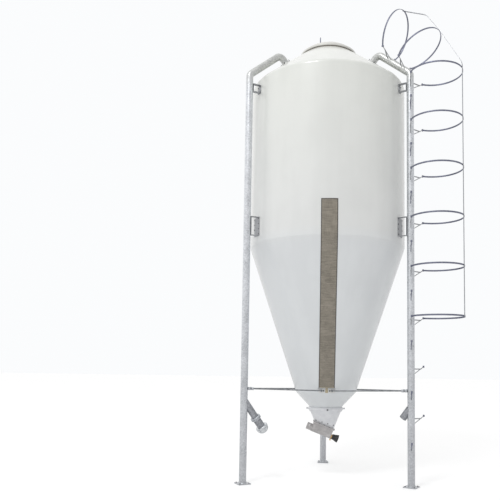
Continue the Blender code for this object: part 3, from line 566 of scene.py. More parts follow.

# %% [markdown]
# ### Hot-dip zinc
#
# The pipes were dipped in molten zinc. Crystals a centimetre across catch the light each
# in its own way, duller patches lie over them, and runs left a grainy skin. A Voronoi
# pattern gives the crystals, and two noises give the patches and the grain. The pipes are
# darker near the ground, which is painted shade, and darker and beige over the roof. The
# hoops, bolts, brackets and branches use the same finish in darker zinc. On the brackets,
# the branches, the back bar, the ladder steps and the hoops' arms that darker tone is
# painted shade.

# %% Zinc
# Painted shade: the pipes grow darker towards the ground. Over the roof they are darker and beige.
GROUND_SHADE_AND_ROOF_TONE = [(0.1, (0.74,) * 3), (2.2, (0.97,) * 3), (4.9, (1.0,) * 3), (5.2, (0.80, 0.79, 0.74))]
EVEN = [(0.0, (1.0,) * 3), (6.0, (1.0,) * 3)]


def make_zinc(name, dark, light, metallic, rough=(0.38, 0.58), heights=EVEN, scale=75):
    paint, shader = new_finish(name, light, rough[0], metallic)
    crystals = spangle(paint, scale)
    patches = noise(paint, 9, 4)
    tone = mean_of(paint, crystals, patches, 0.6)
    colour = ramp(paint, tone, [(0.25, dark), (0.75, light)])
    colour = tinted(paint, colour, heights)
    dull = ramp(paint, patches, [(0.3, (rough[0],)), (0.7, (rough[1],))])
    wire(paint, shader, colour, dull, noise(paint, 160, 3), 0.0006, 0.3)
    return paint


pipe_tones = ((0.60, 0.62, 0.65), (0.84, 0.86, 0.895))
zinc = make_zinc("hot_dip_zinc", *pipe_tones, 0.85, (0.26, 0.40), GROUND_SHADE_AND_ROOF_TONE)
# On the near ladder steps this dark zinc is painted shade.
dark_zinc = make_zinc("hoop_zinc", (0.13, 0.14, 0.20), (0.24, 0.25, 0.32), 0.6)
bolt_zinc = make_zinc("bolt_zinc", (0.07, 0.075, 0.08), (0.20, 0.205, 0.21), 0.7, (0.3, 0.45))
# A darker copy of the zinc, used as painted shade on the brackets, the far steps and the hoops'
# arms.
bracket_zinc_painted_shade = make_zinc("bracket_zinc_painted_shade", (0.30, 0.31, 0.325), (0.47, 0.48, 0.50), 0.6)
# A darker copy of the zinc, used as painted shade on the branches, the fill neck and the back bar.
branch_zinc_painted_shade = make_zinc("branch_zinc_painted_shade", (0.27, 0.28, 0.30), (0.44, 0.45, 0.48), 0.8, (0.28, 0.42))
print("zinc:", zinc.name, dark_zinc.name, bolt_zinc.name, bracket_zinc_painted_shade.name, branch_zinc_painted_shade.name)

# %% [markdown]
# ### Sheet, castings and the small finishes
#
# The funnel is painted sheet, the boot is folded zinc sheet with a rolled grain, and the
# fill cap is cast aluminium. Rubber, brass and moulded plastic each need one tone map and
# one grain.

# %% Sheet, cast, rubber, brass and plastic
def make_sheet(name, dark, light, metallic, along=(1, 1, 12)):
    """Fine lines along one way, as the mill's rolls leave them."""
    paint, shader = new_finish(name, light, 0.4, metallic)
    grain = noise(paint, 40, 3, along)
    tone = mean_of(paint, grain, noise(paint, 14, 4))
    colour = ramp(paint, tone, [(0.38, dark), (0.62, light)])
    rough = ramp(paint, noise(paint, 22, 3), [(0.3, (0.34,)), (0.7, (0.52,))])
    wire(paint, shader, colour, rough, grain, 0.0004, 0.3)
    return paint


def make_grainy(name, dark, light, rough, metallic, scale, depth):
    """Two tones and a grain of one scale."""
    paint, shader = new_finish(name, light, rough, metallic)
    tone = noise(paint, scale / 4, 4)
    colour = ramp(paint, tone, [(0.35, dark), (0.65, light)])
    lows, highs = (rough * 0.85,), (rough * 1.15,)
    dull = ramp(paint, noise(paint, scale / 2, 2), [(0.3, lows), (0.7, highs)])
    wire(paint, shader, colour, dull, noise(paint, scale, 3), depth, 0.5)
    return paint


funnel_paint = make_sheet("funnel_sheet", (0.68, 0.69, 0.72), (0.79, 0.80, 0.82), 0.15)
boot_sheet = make_sheet("boot_sheet", (0.40, 0.39, 0.39), (0.57, 0.55, 0.545), 0.45)
GRAINY = {
    "cast_aluminium": ((0.46, 0.48, 0.51), (0.64, 0.66, 0.69), 0.40, 0.7, 300, 0.0006),
    "cap_aluminium": ((0.58, 0.60, 0.62), (0.76, 0.78, 0.80), 0.26, 0.85, 300, 0.0004),
    "gasket_rubber": ((0.16, 0.14, 0.125), (0.25, 0.22, 0.20), 0.75, 0.0, 220, 0.0005),
    "turned_brass": ((0.55, 0.34, 0.12), (0.78, 0.53, 0.24), 0.33, 0.85, 260, 0.0003),
    "moulded_black": ((0.014, 0.014, 0.015), (0.035, 0.035, 0.036), 0.42, 0.0, 400, 0.0003),
}
grainy = {name: make_grainy(name, *values) for name, values in GRAINY.items()}
print("small finishes", sorted(grainy))

# %% [markdown]
# ### The level strip
#
# Down the front a strip was left without gel coat, so that the pellets show through. Bare
# glass fibre is olive brown, with the weave's fine threads running up and across and thin
# dark lines where the paint was masked. Below the pellets it turns to a light tan.
# Distance from the strip's middle comes straight from Object X, so the edge lines follow
# the strip all the way down.

# %% Strip finish
STRIP_WIDTH = 0.200
STRIP_TOP_Z = 3.405
STRIP_EDGE = 0.009
TAN_BELOW = 1.190
MASKED = (0.045, 0.04, 0.035)


def beyond(paint, source, limit):
    """1 where the source is greater than the limit, else 0."""
    new = node(paint, "ShaderNodeMath", {"operation": "GREATER_THAN"})
    paint.node_tree.links.new(source, new.inputs[0])
    new.inputs[1].default_value = limit
    return new.outputs[0]


def make_strip_finish():
    paint, shader = new_finish("bare_glass_fibre", (0.21, 0.185, 0.14), 0.42, coat=0.3)
    upright = noise(paint, 150, 3, (1, 1, 0.08))
    level = noise(paint, 110, 3, (0.08, 1, 1))
    blotches = noise(paint, 11, 6)
    weave = mean_of(paint, upright, level, 0.6)
    tone = mean_of(paint, weave, blotches, 0.30)
    bare = ramp(paint, tone, [(0.36, (0.150, 0.132, 0.103)), (0.62, (0.290, 0.260, 0.212))])
    where = node(paint, "ShaderNodeTexCoord").outputs["Object"]
    split = node(paint, "ShaderNodeSeparateXYZ", None, Vector=where)
    offset = node(paint, "ShaderNodeMath", {"operation": "SUBTRACT"})
    paint.node_tree.links.new(split.outputs["X"], offset.inputs[0])
    offset.inputs[1].default_value = float(AXIS[0])
    reach = node(paint, "ShaderNodeMath", {"operation": "ABSOLUTE"})
    paint.node_tree.links.new(offset.outputs[0], reach.inputs[0])
    ragged = sum_of(paint, split.outputs["Z"], blotches, share=0.12)
    ends = {"From Min": TAN_BELOW + 0.05, "From Max": TAN_BELOW}
    lower = node(paint, "ShaderNodeMapRange", ends)
    paint.node_tree.links.new(ragged, lower.inputs["Value"])
    sand = ramp(paint, weave, [(0.40, (0.33, 0.27, 0.165)), (0.60, (0.52, 0.45, 0.30))])
    colour = mixed(paint, lower.outputs["Result"], bare, sand)
    sides = beyond(paint, reach.outputs[0], STRIP_WIDTH / 2 - STRIP_EDGE)
    top = beyond(paint, split.outputs["Z"], STRIP_TOP_Z - STRIP_EDGE)
    for masked in (sides, top):
        colour = mixed(paint, masked, colour, MASKED)
    wire(paint, shader, colour, None, weave, 0.0010, 0.6)
    return paint


strip_finish = make_strip_finish()
print("strip finish", strip_finish.name)

# %% [markdown]
# ## The shell
#
# The real shell is laid up in a mould: a straight wall, a long cone, a wider-angled outlet
# cone under it, and a roof with a rounded shoulder. One closed profile, turned about the
# axis, gives all of it with its wall's thickness, so the inside is there when the lid is
# open. It could be four separate parts, but the real one has no gaps to show. On the cones
# the level thickness is the wall's times SLANT.

# %% Shell
GAP = 0.0003
SHELL_RADIUS = 1.020
WALL = 0.006
OUTLET = (0.212, 0.905)
TIE_LINE = (0.390, 1.095)
CONE_TOP_Z = 2.975
CYLINDER_TOP_Z = 5.075
SHOULDER_RADIUS = 0.060
ROOF_SLOPE = math.radians(38)
MANHOLE_RADIUS = 0.335
RIM_OUTER = 0.372
RIM_THICKNESS = 0.010
OUTLET_BEND = 0.030
CONE_BEND = 0.050
SLANT = 1.25
SHELL_SIDES = 240


def shell_radius(z):
    """Outer radius of the wall or the main cone at a height."""
    share = (np.asarray(z, float) - TIE_LINE[1]) / (CONE_TOP_Z - TIE_LINE[1])
    return TIE_LINE[0] + np.minimum(share, 1) * (SHELL_RADIUS - TIE_LINE[0])


def shoulder(radius, steps=10):
    """An arc about the shoulder's centre from the upright wall to the roof's slope."""
    angle = np.linspace(0, math.pi / 2 - ROOF_SLOPE, steps + 1)
    centre = SHELL_RADIUS - SHOULDER_RADIUS
    return np.stack([centre + radius * np.cos(angle), CYLINDER_TOP_Z + radius * np.sin(angle)], -1)


def roof_height(radius):
    corner, height = shoulder(SHOULDER_RADIUS)[-1]
    return height + (corner - radius) * math.tan(ROOF_SLOPE)


def lathe(profile, sides=SHELL_SIDES, loop=True):
    """Turns (radius, height) pairs about the silo's axis."""
    profile = np.asarray(profile, float)
    return spun(profile[:, ::-1], AXIS, UP, sides, loop)


def make_shell():
    rim_top = roof_height(RIM_OUTER)
    rim_low = rim_top - RIM_THICKNESS
    lower = [OUTLET, TIE_LINE, (SHELL_RADIUS, CONE_TOP_Z), (SHELL_RADIUS, CYLINDER_TOP_Z)]
    outer = rounded(lower, [OUTLET_BEND, CONE_BEND])
    outer = np.vstack([outer, shoulder(SHOULDER_RADIUS)[1:]])
    rim = [(RIM_OUTER, rim_top), (MANHOLE_RADIUS, rim_top), (MANHOLE_RADIUS, rim_low)]
    inner_arc = shoulder(SHOULDER_RADIUS - WALL)
    rim_inner = inner_arc[-1, 0] - (rim_low - inner_arc[-1, 1]) / math.tan(ROOF_SLOPE)
    inside = [(radius - WALL * SLANT, z) for radius, z in (OUTLET, TIE_LINE)]
    inside += [(SHELL_RADIUS - WALL, CONE_TOP_Z), (SHELL_RADIUS - WALL, CYLINDER_TOP_Z)]
    profile = np.vstack([outer, rim, [(rim_inner, rim_low)], inner_arc[::-1], inside[:3][::-1]])
    nodes = ("shell_cylinder", "roof", "hopper_cone", "outlet_cone")
    put("silo_shell", [lathe(profile)], gel_coat, replaces=nodes)


make_shell()
print("shell faces", made["silo_shell"])

# %% [markdown]
# ## Manhole lid
#
# On the roof's rim lies a brown rubber gasket, and on it a moulded lid: a flat flange and a
# low crown. The crown's height follows a superellipse, h = H (1 - (r/R)^2.5)^(1/1.8), which
# is flat in the middle and turns down quickly near the flange. The real lid is a thin
# moulding, so its underside is hollow.

# %% Lid and gasket
LID_RADIUS = 0.380
LID_RIM = 0.030
CROWN_RADIUS = 0.343
CROWN_RISE = 0.108
LID_WALL = 0.006
FLANGE_INNER = 0.350
GASKET_OVERHANG = 0.034
LID_FOOT = [(-0.002, 0), (0, 0.004)]
LID_TURN = [(0, -0.009), (-0.003, -0.003), (-0.009, 0)]
GASKET_FOOT = [(-0.003, 0), (0, 0.004)]
GASKET_TURN = [(0, -0.004), (-0.003, 0)]
gasket_low, gasket_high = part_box("manhole_gasket")
lid_low, lid_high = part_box("lid")


def eased(radius, height, steps):
    """A corner at (radius, height), rubbed off by small steps from it."""
    return [(radius + outward_step, height + rise) for outward_step, rise in steps]


def crown(radius, rise, steps=24):
    """(r, h) from the crown's foot to its top, with rows closest near the foot."""
    share = np.cos(np.linspace(0, np.pi / 2, steps + 1)) ** 0.7
    height = rise * (1 - share**2.5) ** (1 / 1.8)
    return np.stack([radius * share, height], -1)


def make_lid():
    under = lid_low.z
    rim = under + LID_RIM
    top = crown(CROWN_RADIUS, CROWN_RISE) + (0, rim)
    edge = eased(LID_RADIUS, under, LID_FOOT) + eased(LID_RADIUS, rim, LID_TURN)
    edge.append((FLANGE_INNER, rim))
    inner_rise = CROWN_RISE + LID_RIM - LID_WALL
    hollow = crown(CROWN_RADIUS - LID_WALL, inner_rise)[::-1] + (0, under)
    profile = np.vstack([edge, top, hollow])
    # The lid wears the darker gel coat, which is painted shade.
    put("manhole_lid_cover", [lathe(profile, 160)], shaded_lid_coat, "manhole_lid", ("lid",))
    low, high = gasket_low.z, gasket_high.z
    outer = MANHOLE_RADIUS + GASKET_OVERHANG
    ring = [(MANHOLE_RADIUS, low)] + eased(outer, low, GASKET_FOOT)
    ring += eased(outer, high, GASKET_TURN) + [(MANHOLE_RADIUS, high)]
    soft = grainy["gasket_rubber"]
    put("gasket_ring", [lathe(ring, 160)], soft, replaces=("manhole_gasket",))


make_lid()
print("lid faces", made["manhole_lid_cover"])

# %% [markdown]
# ### Lid handle and hinge
#
# The handle is a bent rod seen end-on in the photograph as one thin line, so it is a hoop
# across the view. Its feet are welded, which a small collar shows. The hinge keeps its
# solids, which are right already, and gets its bolts here.

# %% Handle and hinge bolts
HANDLE_ROD = 0.006
HANDLE_BEND = 0.030
SUNK = 0.003
HINGE_AZIMUTH = 150
HINGE_PLATE = 0.006
STRAP_BOLTS = (0.372, 0.014, 0.006)
PLATE_BOLTS = (0.018, 0.0045)
PLATE_BOLT_ROWS = (0.405, 0.455)
handle_low, handle_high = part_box("lid_handle")


def make_handle():
    x = (handle_low.x + handle_high.x) / 2
    near, far = handle_low.y + HANDLE_ROD, handle_high.y - HANDLE_ROD
    foot, top = handle_low.z - SUNK, handle_high.z - HANDLE_ROD
    corners = [(x, near, foot), (x, near, top), (x, far, top), (x, far, foot)]
    path = rounded(corners, [HANDLE_BEND] * 2)
    bar = carried(path, round_outline(HANDLE_ROD, 20), np.array([1.0, 0, 0]))
    collar = [(0, 0.014), (0.003, 0.012), (0.008, 0.007)]
    feet = [spun(collar, np.array(corner), UP, 20) for corner in (corners[0], corners[3])]
    put("lid_pull", [bar] + feet, dark_zinc, "manhole_lid", ("lid_handle",))


def make_hinge_bolts():
    """Two bolts through the strap on the lid, and four through the plate on the roof."""
    across = sideways(HINGE_AZIMUTH)
    radius, reach, size = STRAP_BOLTS
    middle = place(HINGE_AZIMUTH, radius, lid_low.z + LID_RIM + HINGE_PLATE + GAP)
    shapes = []
    for sign in (-1, 1):
        shapes += bolt(middle + across * sign * reach, UP, size)
    put("hinge_strap_bolts", shapes, bolt_zinc, "manhole_lid")
    normal = outward(HINGE_AZIMUTH) * math.sin(ROOF_SLOPE) + UP * math.cos(ROOF_SLOPE)
    reach, size = PLATE_BOLTS
    shapes = []
    for radius in PLATE_BOLT_ROWS:
        seat = place(HINGE_AZIMUTH, radius, roof_height(radius)) + normal * HINGE_PLATE
        for sign in (-1, 1):
            shapes += bolt(seat + across * sign * reach, normal, size)
    put("hinge_plate_bolts", shapes, bolt_zinc)


make_handle()
make_hinge_bolts()
print("handle and hinge bolts")

# %% [markdown]
# ## Level strip
#
# The strip is laid on the wall and on down the cone. Each row is a short arc of the shell's
# own circle at that height: y = -sqrt(R(z)^2 - x^2). The sheet's two faces and its edges
# come from one closed outline per row.

# %% Strip
STRIP_SHOULDER_Z = 1.162
STRIP_BOTTOM_Z = 1.100
STRIP_TONGUE_WIDTH = 0.034
STRIP_THICKNESS = 0.003


def strip_sheet(heights, width, columns=25):
    """For each height, the arc across the front at the outer face, then back at the inner."""
    across = np.linspace(-width / 2, width / 2, columns)
    inner = shell_radius(heights)[:, None] + 2 * GAP
    outer = inner + STRIP_THICKNESS
    x = np.concatenate([across, across[::-1]])
    radius = np.concatenate([outer + 0 * across, inner + 0 * across], 1)
    z = np.broadcast_to(heights[:, None], radius.shape)
    y = -np.sqrt(radius**2 - x**2)
    return skin(AXIS + np.stack([np.broadcast_to(x, radius.shape), y, z], -1))


wall_rows = np.linspace(STRIP_TOP_Z, CONE_TOP_Z, 12)
cone_rows = np.linspace(CONE_TOP_Z, STRIP_SHOULDER_Z, 60)[1:]
main_sheet = strip_sheet(np.concatenate([wall_rows, cone_rows]), STRIP_WIDTH)
tongue_rows = np.linspace(STRIP_SHOULDER_Z + 0.001, STRIP_BOTTOM_Z, 4)
tongue = strip_sheet(tongue_rows, STRIP_TONGUE_WIDTH)
put("sight_strip", [main_sheet, tongue], strip_finish, replaces=("level_strip",))
print("strip faces", made["sight_strip"])

# %% [markdown]
# ## Legs and the pipes over the roof
#
# Each leg is a 90 mm pipe. The left and right ones are bent over the shoulder, run up the
# roof and turn down on to it: the left one fills the silo and the right one lets its air
# out. A pipe is a circle carried along a path, and `rounded` makes the two bends. Each foot
# is a square plate, turned corner-wise, with a weld around the pipe and four anchors.

# %% Legs
LEG_CIRCLE = 1.171
PIPE_RADIUS = 0.04445
BEND_Z = 5.125
BEND_RADIUS = 0.070
OVER_SLOPE = math.radians(40)
DROP_R = 0.733
FLANGE_RADIUS = 0.070
REAR_TOP_Z = 5.085
FOOT_SIDE = 0.160
FOOT_THICKNESS = 0.012
PLATE_CORNER = 0.006
PLATE_BEVEL = 0.0015
WELD = [(0, 0.009), (0.003, 0.0075), (0.009, -0.001)]
ANCHOR_REACH = 0.058
ANCHOR_SIZE = 0.0075
STUD_REACH = 0.059
STUD_STUB = 0.014
FLANGE_LIP = 0.006
TOP_EASE = 0.004
LEG_NODES = {
    "left": ("left_leg", "left_over_pipe"),
    "right": ("right_leg", "right_over_pipe"),
    "rear": ("rear_leg",),
}


def pipe_path(side):
    """Straight up, over the shoulder, up the roof and down on to it."""
    azimuth = LEG_AZIMUTHS[side]
    if side == "rear":
        return place(azimuth, [LEG_CIRCLE] * 2, [FOOT_THICKNESS, REAR_TOP_Z - TOP_EASE])
    drop_z = BEND_Z + (LEG_CIRCLE - DROP_R) * math.tan(OVER_SLOPE)
    above = (drop_z - roof_height(DROP_R)) * math.cos(ROOF_SLOPE) - GAP
    end = (DROP_R - above * math.sin(ROOF_SLOPE), drop_z - above * math.cos(ROOF_SLOPE))
    radii = [LEG_CIRCLE, LEG_CIRCLE, DROP_R, end[0]]
    heights = [FOOT_THICKNESS, BEND_Z, drop_z, end[1]]
    return rounded(place(azimuth, radii, heights), [BEND_RADIUS] * 2, 12)


def foot_plate(azimuth):
    """A rounded square, pressed thin, and a ring of weld."""
    square = rounded_rectangle(FOOT_SIDE, FOOT_SIDE, PLATE_CORNER)
    base = place(azimuth, LEG_CIRCLE, 0)
    plate = pressed(square, FOOT_THICKNESS, PLATE_BEVEL, base, outward(azimuth), sideways(azimuth))
    weld = [(rise, PIPE_RADIUS + step) for rise, step in WELD]
    return [plate, spun(weld, base + UP * (FOOT_THICKNESS - 0.0005), UP, 40)]


def make_leg(side):
    azimuth = LEG_AZIMUTHS[side]
    path = pipe_path(side)
    shapes = [carried(path, round_outline(PIPE_RADIUS, 56), sideways(azimuth))]
    shapes += foot_plate(azimuth)
    if side == "rear":
        top = place(azimuth, LEG_CIRCLE, REAR_TOP_Z - TOP_EASE)
        shapes.append(spun([(0, PIPE_RADIUS), (TOP_EASE, PIPE_RADIUS - TOP_EASE)], top, UP, 56))
    else:
        down = unit(path[-1] - path[-2])
        lip = path[-1] - down * FLANGE_LIP
        studs = []
        for angle in (45, 135, 225, 315):
            turned = math.radians(angle)
            level = sideways(azimuth)
            around = level * math.cos(turned) + np.cross(down, level) * math.sin(turned)
            studs += bolt(lip + around * STUD_REACH, -down, ANCHOR_SIZE, STUD_STUB)
        put(side + "_roof_studs", studs, bolt_zinc)
        shapes.append(spun([(0, FLANGE_RADIUS), (FLANGE_LIP, FLANGE_RADIUS)], lip, down, 48))
        shapes.append(spun([(-0.010, PIPE_RADIUS), (0.002, PIPE_RADIUS + 0.010)], lip, down, 48))
    put(side + "_pipe_leg", shapes, zinc, replaces=LEG_NODES[side])
    anchors = []
    for along in (-1, 1):
        for across in (-1, 1):
            where = place(azimuth, LEG_CIRCLE + along * ANCHOR_REACH, FOOT_THICKNESS)
            anchors += bolt(where + sideways(azimuth) * across * ANCHOR_REACH, UP, ANCHOR_SIZE)
    put(side + "_foot_anchors", anchors, bolt_zinc)


for leg_side in LEG_AZIMUTHS:
    make_leg(leg_side)
print("legs", {name: made[name] for name in made if name.endswith("pipe_leg")})

# %% [markdown]
# ## Brackets
#
# Folded plates tie the shell to the legs, a small one under the shoulder and a tall one at
# the cone's top. The plate on the shell is curved as the shell is, and reaches further to
# the back than to the front: its outline is repeated at nine azimuths. Two webs and a narrow
# plate carry it to the leg, and rows of small bolts hold it.

# %% Brackets
BRACKETS = {
    "upper": (4.912, 5.014, (-0.060, 0.022), 2),
    "lower": (3.058, 3.297, (-0.110, 0.042), 4),
}
TO_FRONT = {"left": 1, "right": -1, "rear": 1}
BRACKET_PLATE = 0.005
WEB_HALF = 0.025
BRACKET_BEVEL = 0.0008
SEAT_MARGIN = 0.014
SEAT_RISE = 0.022
BRACKET_BOLT = 0.0065


def curved_plate(azimuths, low, high):
    """The outline of (radius, height), repeated at each azimuth."""
    near = SHELL_RADIUS + GAP
    far = near + BRACKET_PLATE
    rows = [place(azimuth, [near, far, far, near], [low, low, high, high]) for azimuth in azimuths]
    return skin(np.stack(rows))


def make_bracket(level, side):
    azimuth = LEG_AZIMUTHS[side]
    low, high, reach, rows = BRACKETS[level]
    ends = azimuth + np.degrees(np.array(reach) / SHELL_RADIUS) * TO_FRONT[side]
    out, across = outward(azimuth), sideways(azimuth)
    inner = SHELL_RADIUS + GAP + BRACKET_PLATE / 2
    outer = LEG_CIRCLE - PIPE_RADIUS - GAP
    upright = rounded_rectangle(2 * WEB_HALF, high - low, 0.003, 2)
    web = rounded_rectangle(outer - inner - BRACKET_PLATE / 2, 2 * WEB_HALF, 0.002, 2)
    against_leg = place(azimuth, outer - BRACKET_PLATE, (low + high) / 2)
    shapes = [curved_plate(np.linspace(*ends, 9), low, high)]
    shapes.append(pressed(upright, BRACKET_PLATE, BRACKET_BEVEL, against_leg, across, UP))
    for z in (low, high - BRACKET_PLATE):
        middle = place(azimuth, (inner + outer - BRACKET_PLATE / 2) / 2, z)
        shapes.append(pressed(web, BRACKET_PLATE, BRACKET_BEVEL, middle, out, across))
    node_name = f"{level}_bracket_{side}"
    # The plates' darker zinc is painted shade.
    put(node_name + "_plates", shapes, bracket_zinc_painted_shade, replaces=(node_name,))
    bolts = []
    margin = np.degrees(SEAT_MARGIN / SHELL_RADIUS) * np.sign(ends[1] - ends[0])
    for seat_azimuth in (ends[0] + margin, ends[1] - margin):
        for z in np.linspace(low + SEAT_RISE, high - SEAT_RISE, rows):
            seat = place(seat_azimuth, SHELL_RADIUS + GAP + BRACKET_PLATE, z)
            bolts += bolt(seat, outward(seat_azimuth), BRACKET_BOLT)
    put(f"{level}_bolts_{side}", bolts, bolt_zinc)


for bracket_level in BRACKETS:
    for bracket_side in LEG_AZIMUTHS:
        make_bracket(bracket_level, bracket_side)
print("brackets", {name: made[name] for name in made if name.endswith("_plates")})

# %% [markdown]
# ## Tie rods
#
# From each leg two rods run in to the cone, to small plates either side of the strip and of
# the two other gaps. They stop the legs from spreading. The solids stay. Each plate gets a
# bolt, and each rod two nuts by its leg.

# %% Tie bolts and nuts
TIE_PLATE_Z = 1.127
TIE_PLATE_REACH = 0.416
TIE_LEG_Z = 1.148
TIE_END_R = 0.424
TIE_END_ANGLE = 9
TIE_LEG_ANGLE = 60
NUT_RADIUS = 0.017
NUT_LENGTH = 0.019
NUT_WASHER = (0.020, 0.0035)
NUT_DISTANCES = (0.050, 0.092)
TIE_BOLT_ANGLE = 5.4
TIE_BOLT_SEAT = 0.0075
TIE_BOLT = (0.0095, 0.006)
TIE_ROWS = {"front": 270, "right": 30, "left": 150}
kept = {}


def make_tie_finish():
    """Zinc on the rods and white paint on the plates, by the distance from the silo's axis."""
    paint, shader = new_finish("tie_zinc_and_paint", (0.3, 0.3, 0.3), 0.45, 0.4)
    where = node(paint, "ShaderNodeTexCoord").outputs["Object"]
    offset = node(paint, "ShaderNodeVectorMath", {"operation": "SUBTRACT"})
    paint.node_tree.links.new(where, offset.inputs[0])
    offset.inputs[1].default_value = AXIS.tolist()
    level = node(paint, "ShaderNodeVectorMath", {"operation": "MULTIPLY"})
    paint.node_tree.links.new(offset.outputs[0], level.inputs[0])
    level.inputs[1].default_value = (1, 1, 0)
    far = node(paint, "ShaderNodeVectorMath", {"operation": "LENGTH"})
    paint.node_tree.links.new(level.outputs[0], far.inputs[0])
    rods = node(paint, "ShaderNodeMath", {"operation": "GREATER_THAN"})
    paint.node_tree.links.new(far.outputs["Value"], rods.inputs[0])
    rods.inputs[1].default_value = TIE_PLATE_REACH
    patches = noise(paint, 30, 4)
    metal = ramp(paint, patches, [(0.3, (0.15, 0.16, 0.17)), (0.7, (0.30, 0.31, 0.33))])
    white = ramp(paint, patches, [(0.3, (0.62, 0.62, 0.61)), (0.7, (0.76, 0.76, 0.75))])
    wire(paint, shader, mixed(paint, rods.outputs[0], white, metal), None, patches, 0.0005, 0.3)
    return paint


def make_tie_nuts():
    """Two nuts and a washer at the leg's end of each rod."""
    shapes = []
    for middle in TIE_ROWS.values():
        for side in (-1, 1):
            leg = place(middle + side * TIE_LEG_ANGLE, LEG_CIRCLE, TIE_LEG_Z)
            inner = place(middle + side * TIE_END_ANGLE, TIE_END_R, TIE_PLATE_Z)
            along = unit(inner - leg)
            radius, thickness = NUT_WASHER
            for distance in NUT_DISTANCES:
                nut = leg + along * distance
                washer = nut + along * NUT_LENGTH
                shapes.append(spun([(0, NUT_RADIUS), (NUT_LENGTH, NUT_RADIUS)], nut, along, 6))
                shapes.append(spun([(0, radius), (thickness, radius)], washer, along, 20))
    put("tie_rod_nuts", shapes, grainy["cast_aluminium"])


def make_tie_bolts(name, azimuth):
    shapes = []
    radius = float(shell_radius(TIE_PLATE_Z)) + TIE_BOLT_SEAT
    for bolt_azimuth in (azimuth - TIE_BOLT_ANGLE, azimuth + TIE_BOLT_ANGLE):
        seat = place(bolt_azimuth, radius, TIE_PLATE_Z)
        shapes += bolt(seat, outward(bolt_azimuth), *TIE_BOLT)
    put(f"{name}_tie_bolts", shapes, bolt_zinc)


for tie_name, tie_azimuth in TIE_ROWS.items():
    make_tie_bolts(tie_name, tie_azimuth)
make_tie_nuts()
tie_finish = make_tie_finish()
tie_nodes = [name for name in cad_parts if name.endswith("_tie")]
kept.update({name: tie_finish for name in tie_nodes})
kept.update({"hinge_strap": zinc, "hinge_bracket": zinc})
print("ties", sorted(tie_nodes))

# %% [markdown]
# ## Collar and funnel
#
# Under the outlet cone a painted collar clamps the funnel. It has an ear on each side and a
# bolt in front. The funnel is the interesting shape: round above and a rounded rectangle
# below, and its foot is cut on the slope of the auger. Each point of the top circle is
# joined by a straight line to the point of the foot in the same direction, where the foot
# is the superellipse |x/a|^4 + |y/b|^4 = 1 on the sloping plane.

# %% Collar and funnel
COLLAR_INNER = 0.194
COLLAR_TOP_RADIUS = 0.226
COLLAR_LOW_RADIUS = 0.207
COLLAR_STEP_Z = 0.868
COLLAR_LOW_Z = 0.843
EAR = (0.034, 0.020, 0.016)
EAR_REACH = 0.010
EAR_RISE = 0.004
EAR_BOLT = 0.006
FRONT_BOLT_AZIMUTH = 274.5
FRONT_BOLT = (0.0095, 0.006)
FUNNEL_TOP_RADIUS = 0.198
FUNNEL_FOOT = (0.136, 0.080)
RIVET_DOME = [(-0.003, 0.008), (0, 0.008), (0.003, 0.006), (0.0045, 0.0005)]
FUNNEL_ROWS = 10
RIVET_ROW = 8
RIVET_COLUMNS = (12, 20, 28, 36, 60, 68, 76, 84)
SHEET = 0.003
BOOT_TILT = math.radians(21.0)
BOOT_CENTRE = np.array([-0.046, 0.0, 0.601])
BOOT_LENGTH = 0.270
BOOT_HEIGHT = 0.135
FLANGE_THICKNESS = 0.006
BOOT_DOWN = np.array([math.cos(BOOT_TILT), 0, -math.sin(BOOT_TILT)])
BOOT_UP = np.array([math.sin(BOOT_TILT), 0, math.cos(BOOT_TILT)])
ACROSS = np.array([0.0, 1.0, 0.0])


def in_boot(x, y, z):
    """x runs down the auger, y across it and z square to its lid."""
    steps = np.stack(np.broadcast_arrays(*(np.asarray(v, float) for v in (x, y, z))), -1)
    return AXIS + BOOT_CENTRE + steps @ np.stack([BOOT_DOWN, ACROSS, BOOT_UP])


def make_collar():
    high = OUTLET[1] - GAP
    profile = [(COLLAR_INNER, COLLAR_LOW_Z), (COLLAR_LOW_RADIUS, COLLAR_LOW_Z)]
    profile += [(COLLAR_TOP_RADIUS - 0.006, COLLAR_STEP_Z - 0.004)]
    profile += [(COLLAR_TOP_RADIUS, COLLAR_STEP_Z), (COLLAR_TOP_RADIUS, high - 0.014)]
    profile += [(COLLAR_TOP_RADIUS - 0.004, high - 0.008), (OUTLET[0] + 0.001, high)]
    shapes = [lathe(profile + [(COLLAR_INNER, high)], 120)]
    bolts = []
    length, width, thickness = EAR
    for azimuth in (180, 0):
        out = outward(azimuth)
        middle = place(azimuth, COLLAR_TOP_RADIUS + EAR_REACH, COLLAR_STEP_Z + EAR_RISE)
        ear = rounded_rectangle(length, width, 0.004)
        shapes.append(pressed(ear, thickness, 0.002, middle, np.array([1.0, 0, 0]), ACROSS))
        bolts += bolt(middle + UP * thickness + out * EAR_BOLT, UP, EAR_BOLT)
    front = place(FRONT_BOLT_AZIMUTH, COLLAR_TOP_RADIUS, COLLAR_STEP_Z + 2 * EAR_RISE)
    bolts += bolt(front, outward(FRONT_BOLT_AZIMUTH), *FRONT_BOLT)
    put("clamp_collar", shapes, funnel_paint, replaces=("outlet_collar",))
    put("collar_bolts", bolts, bolt_zinc)


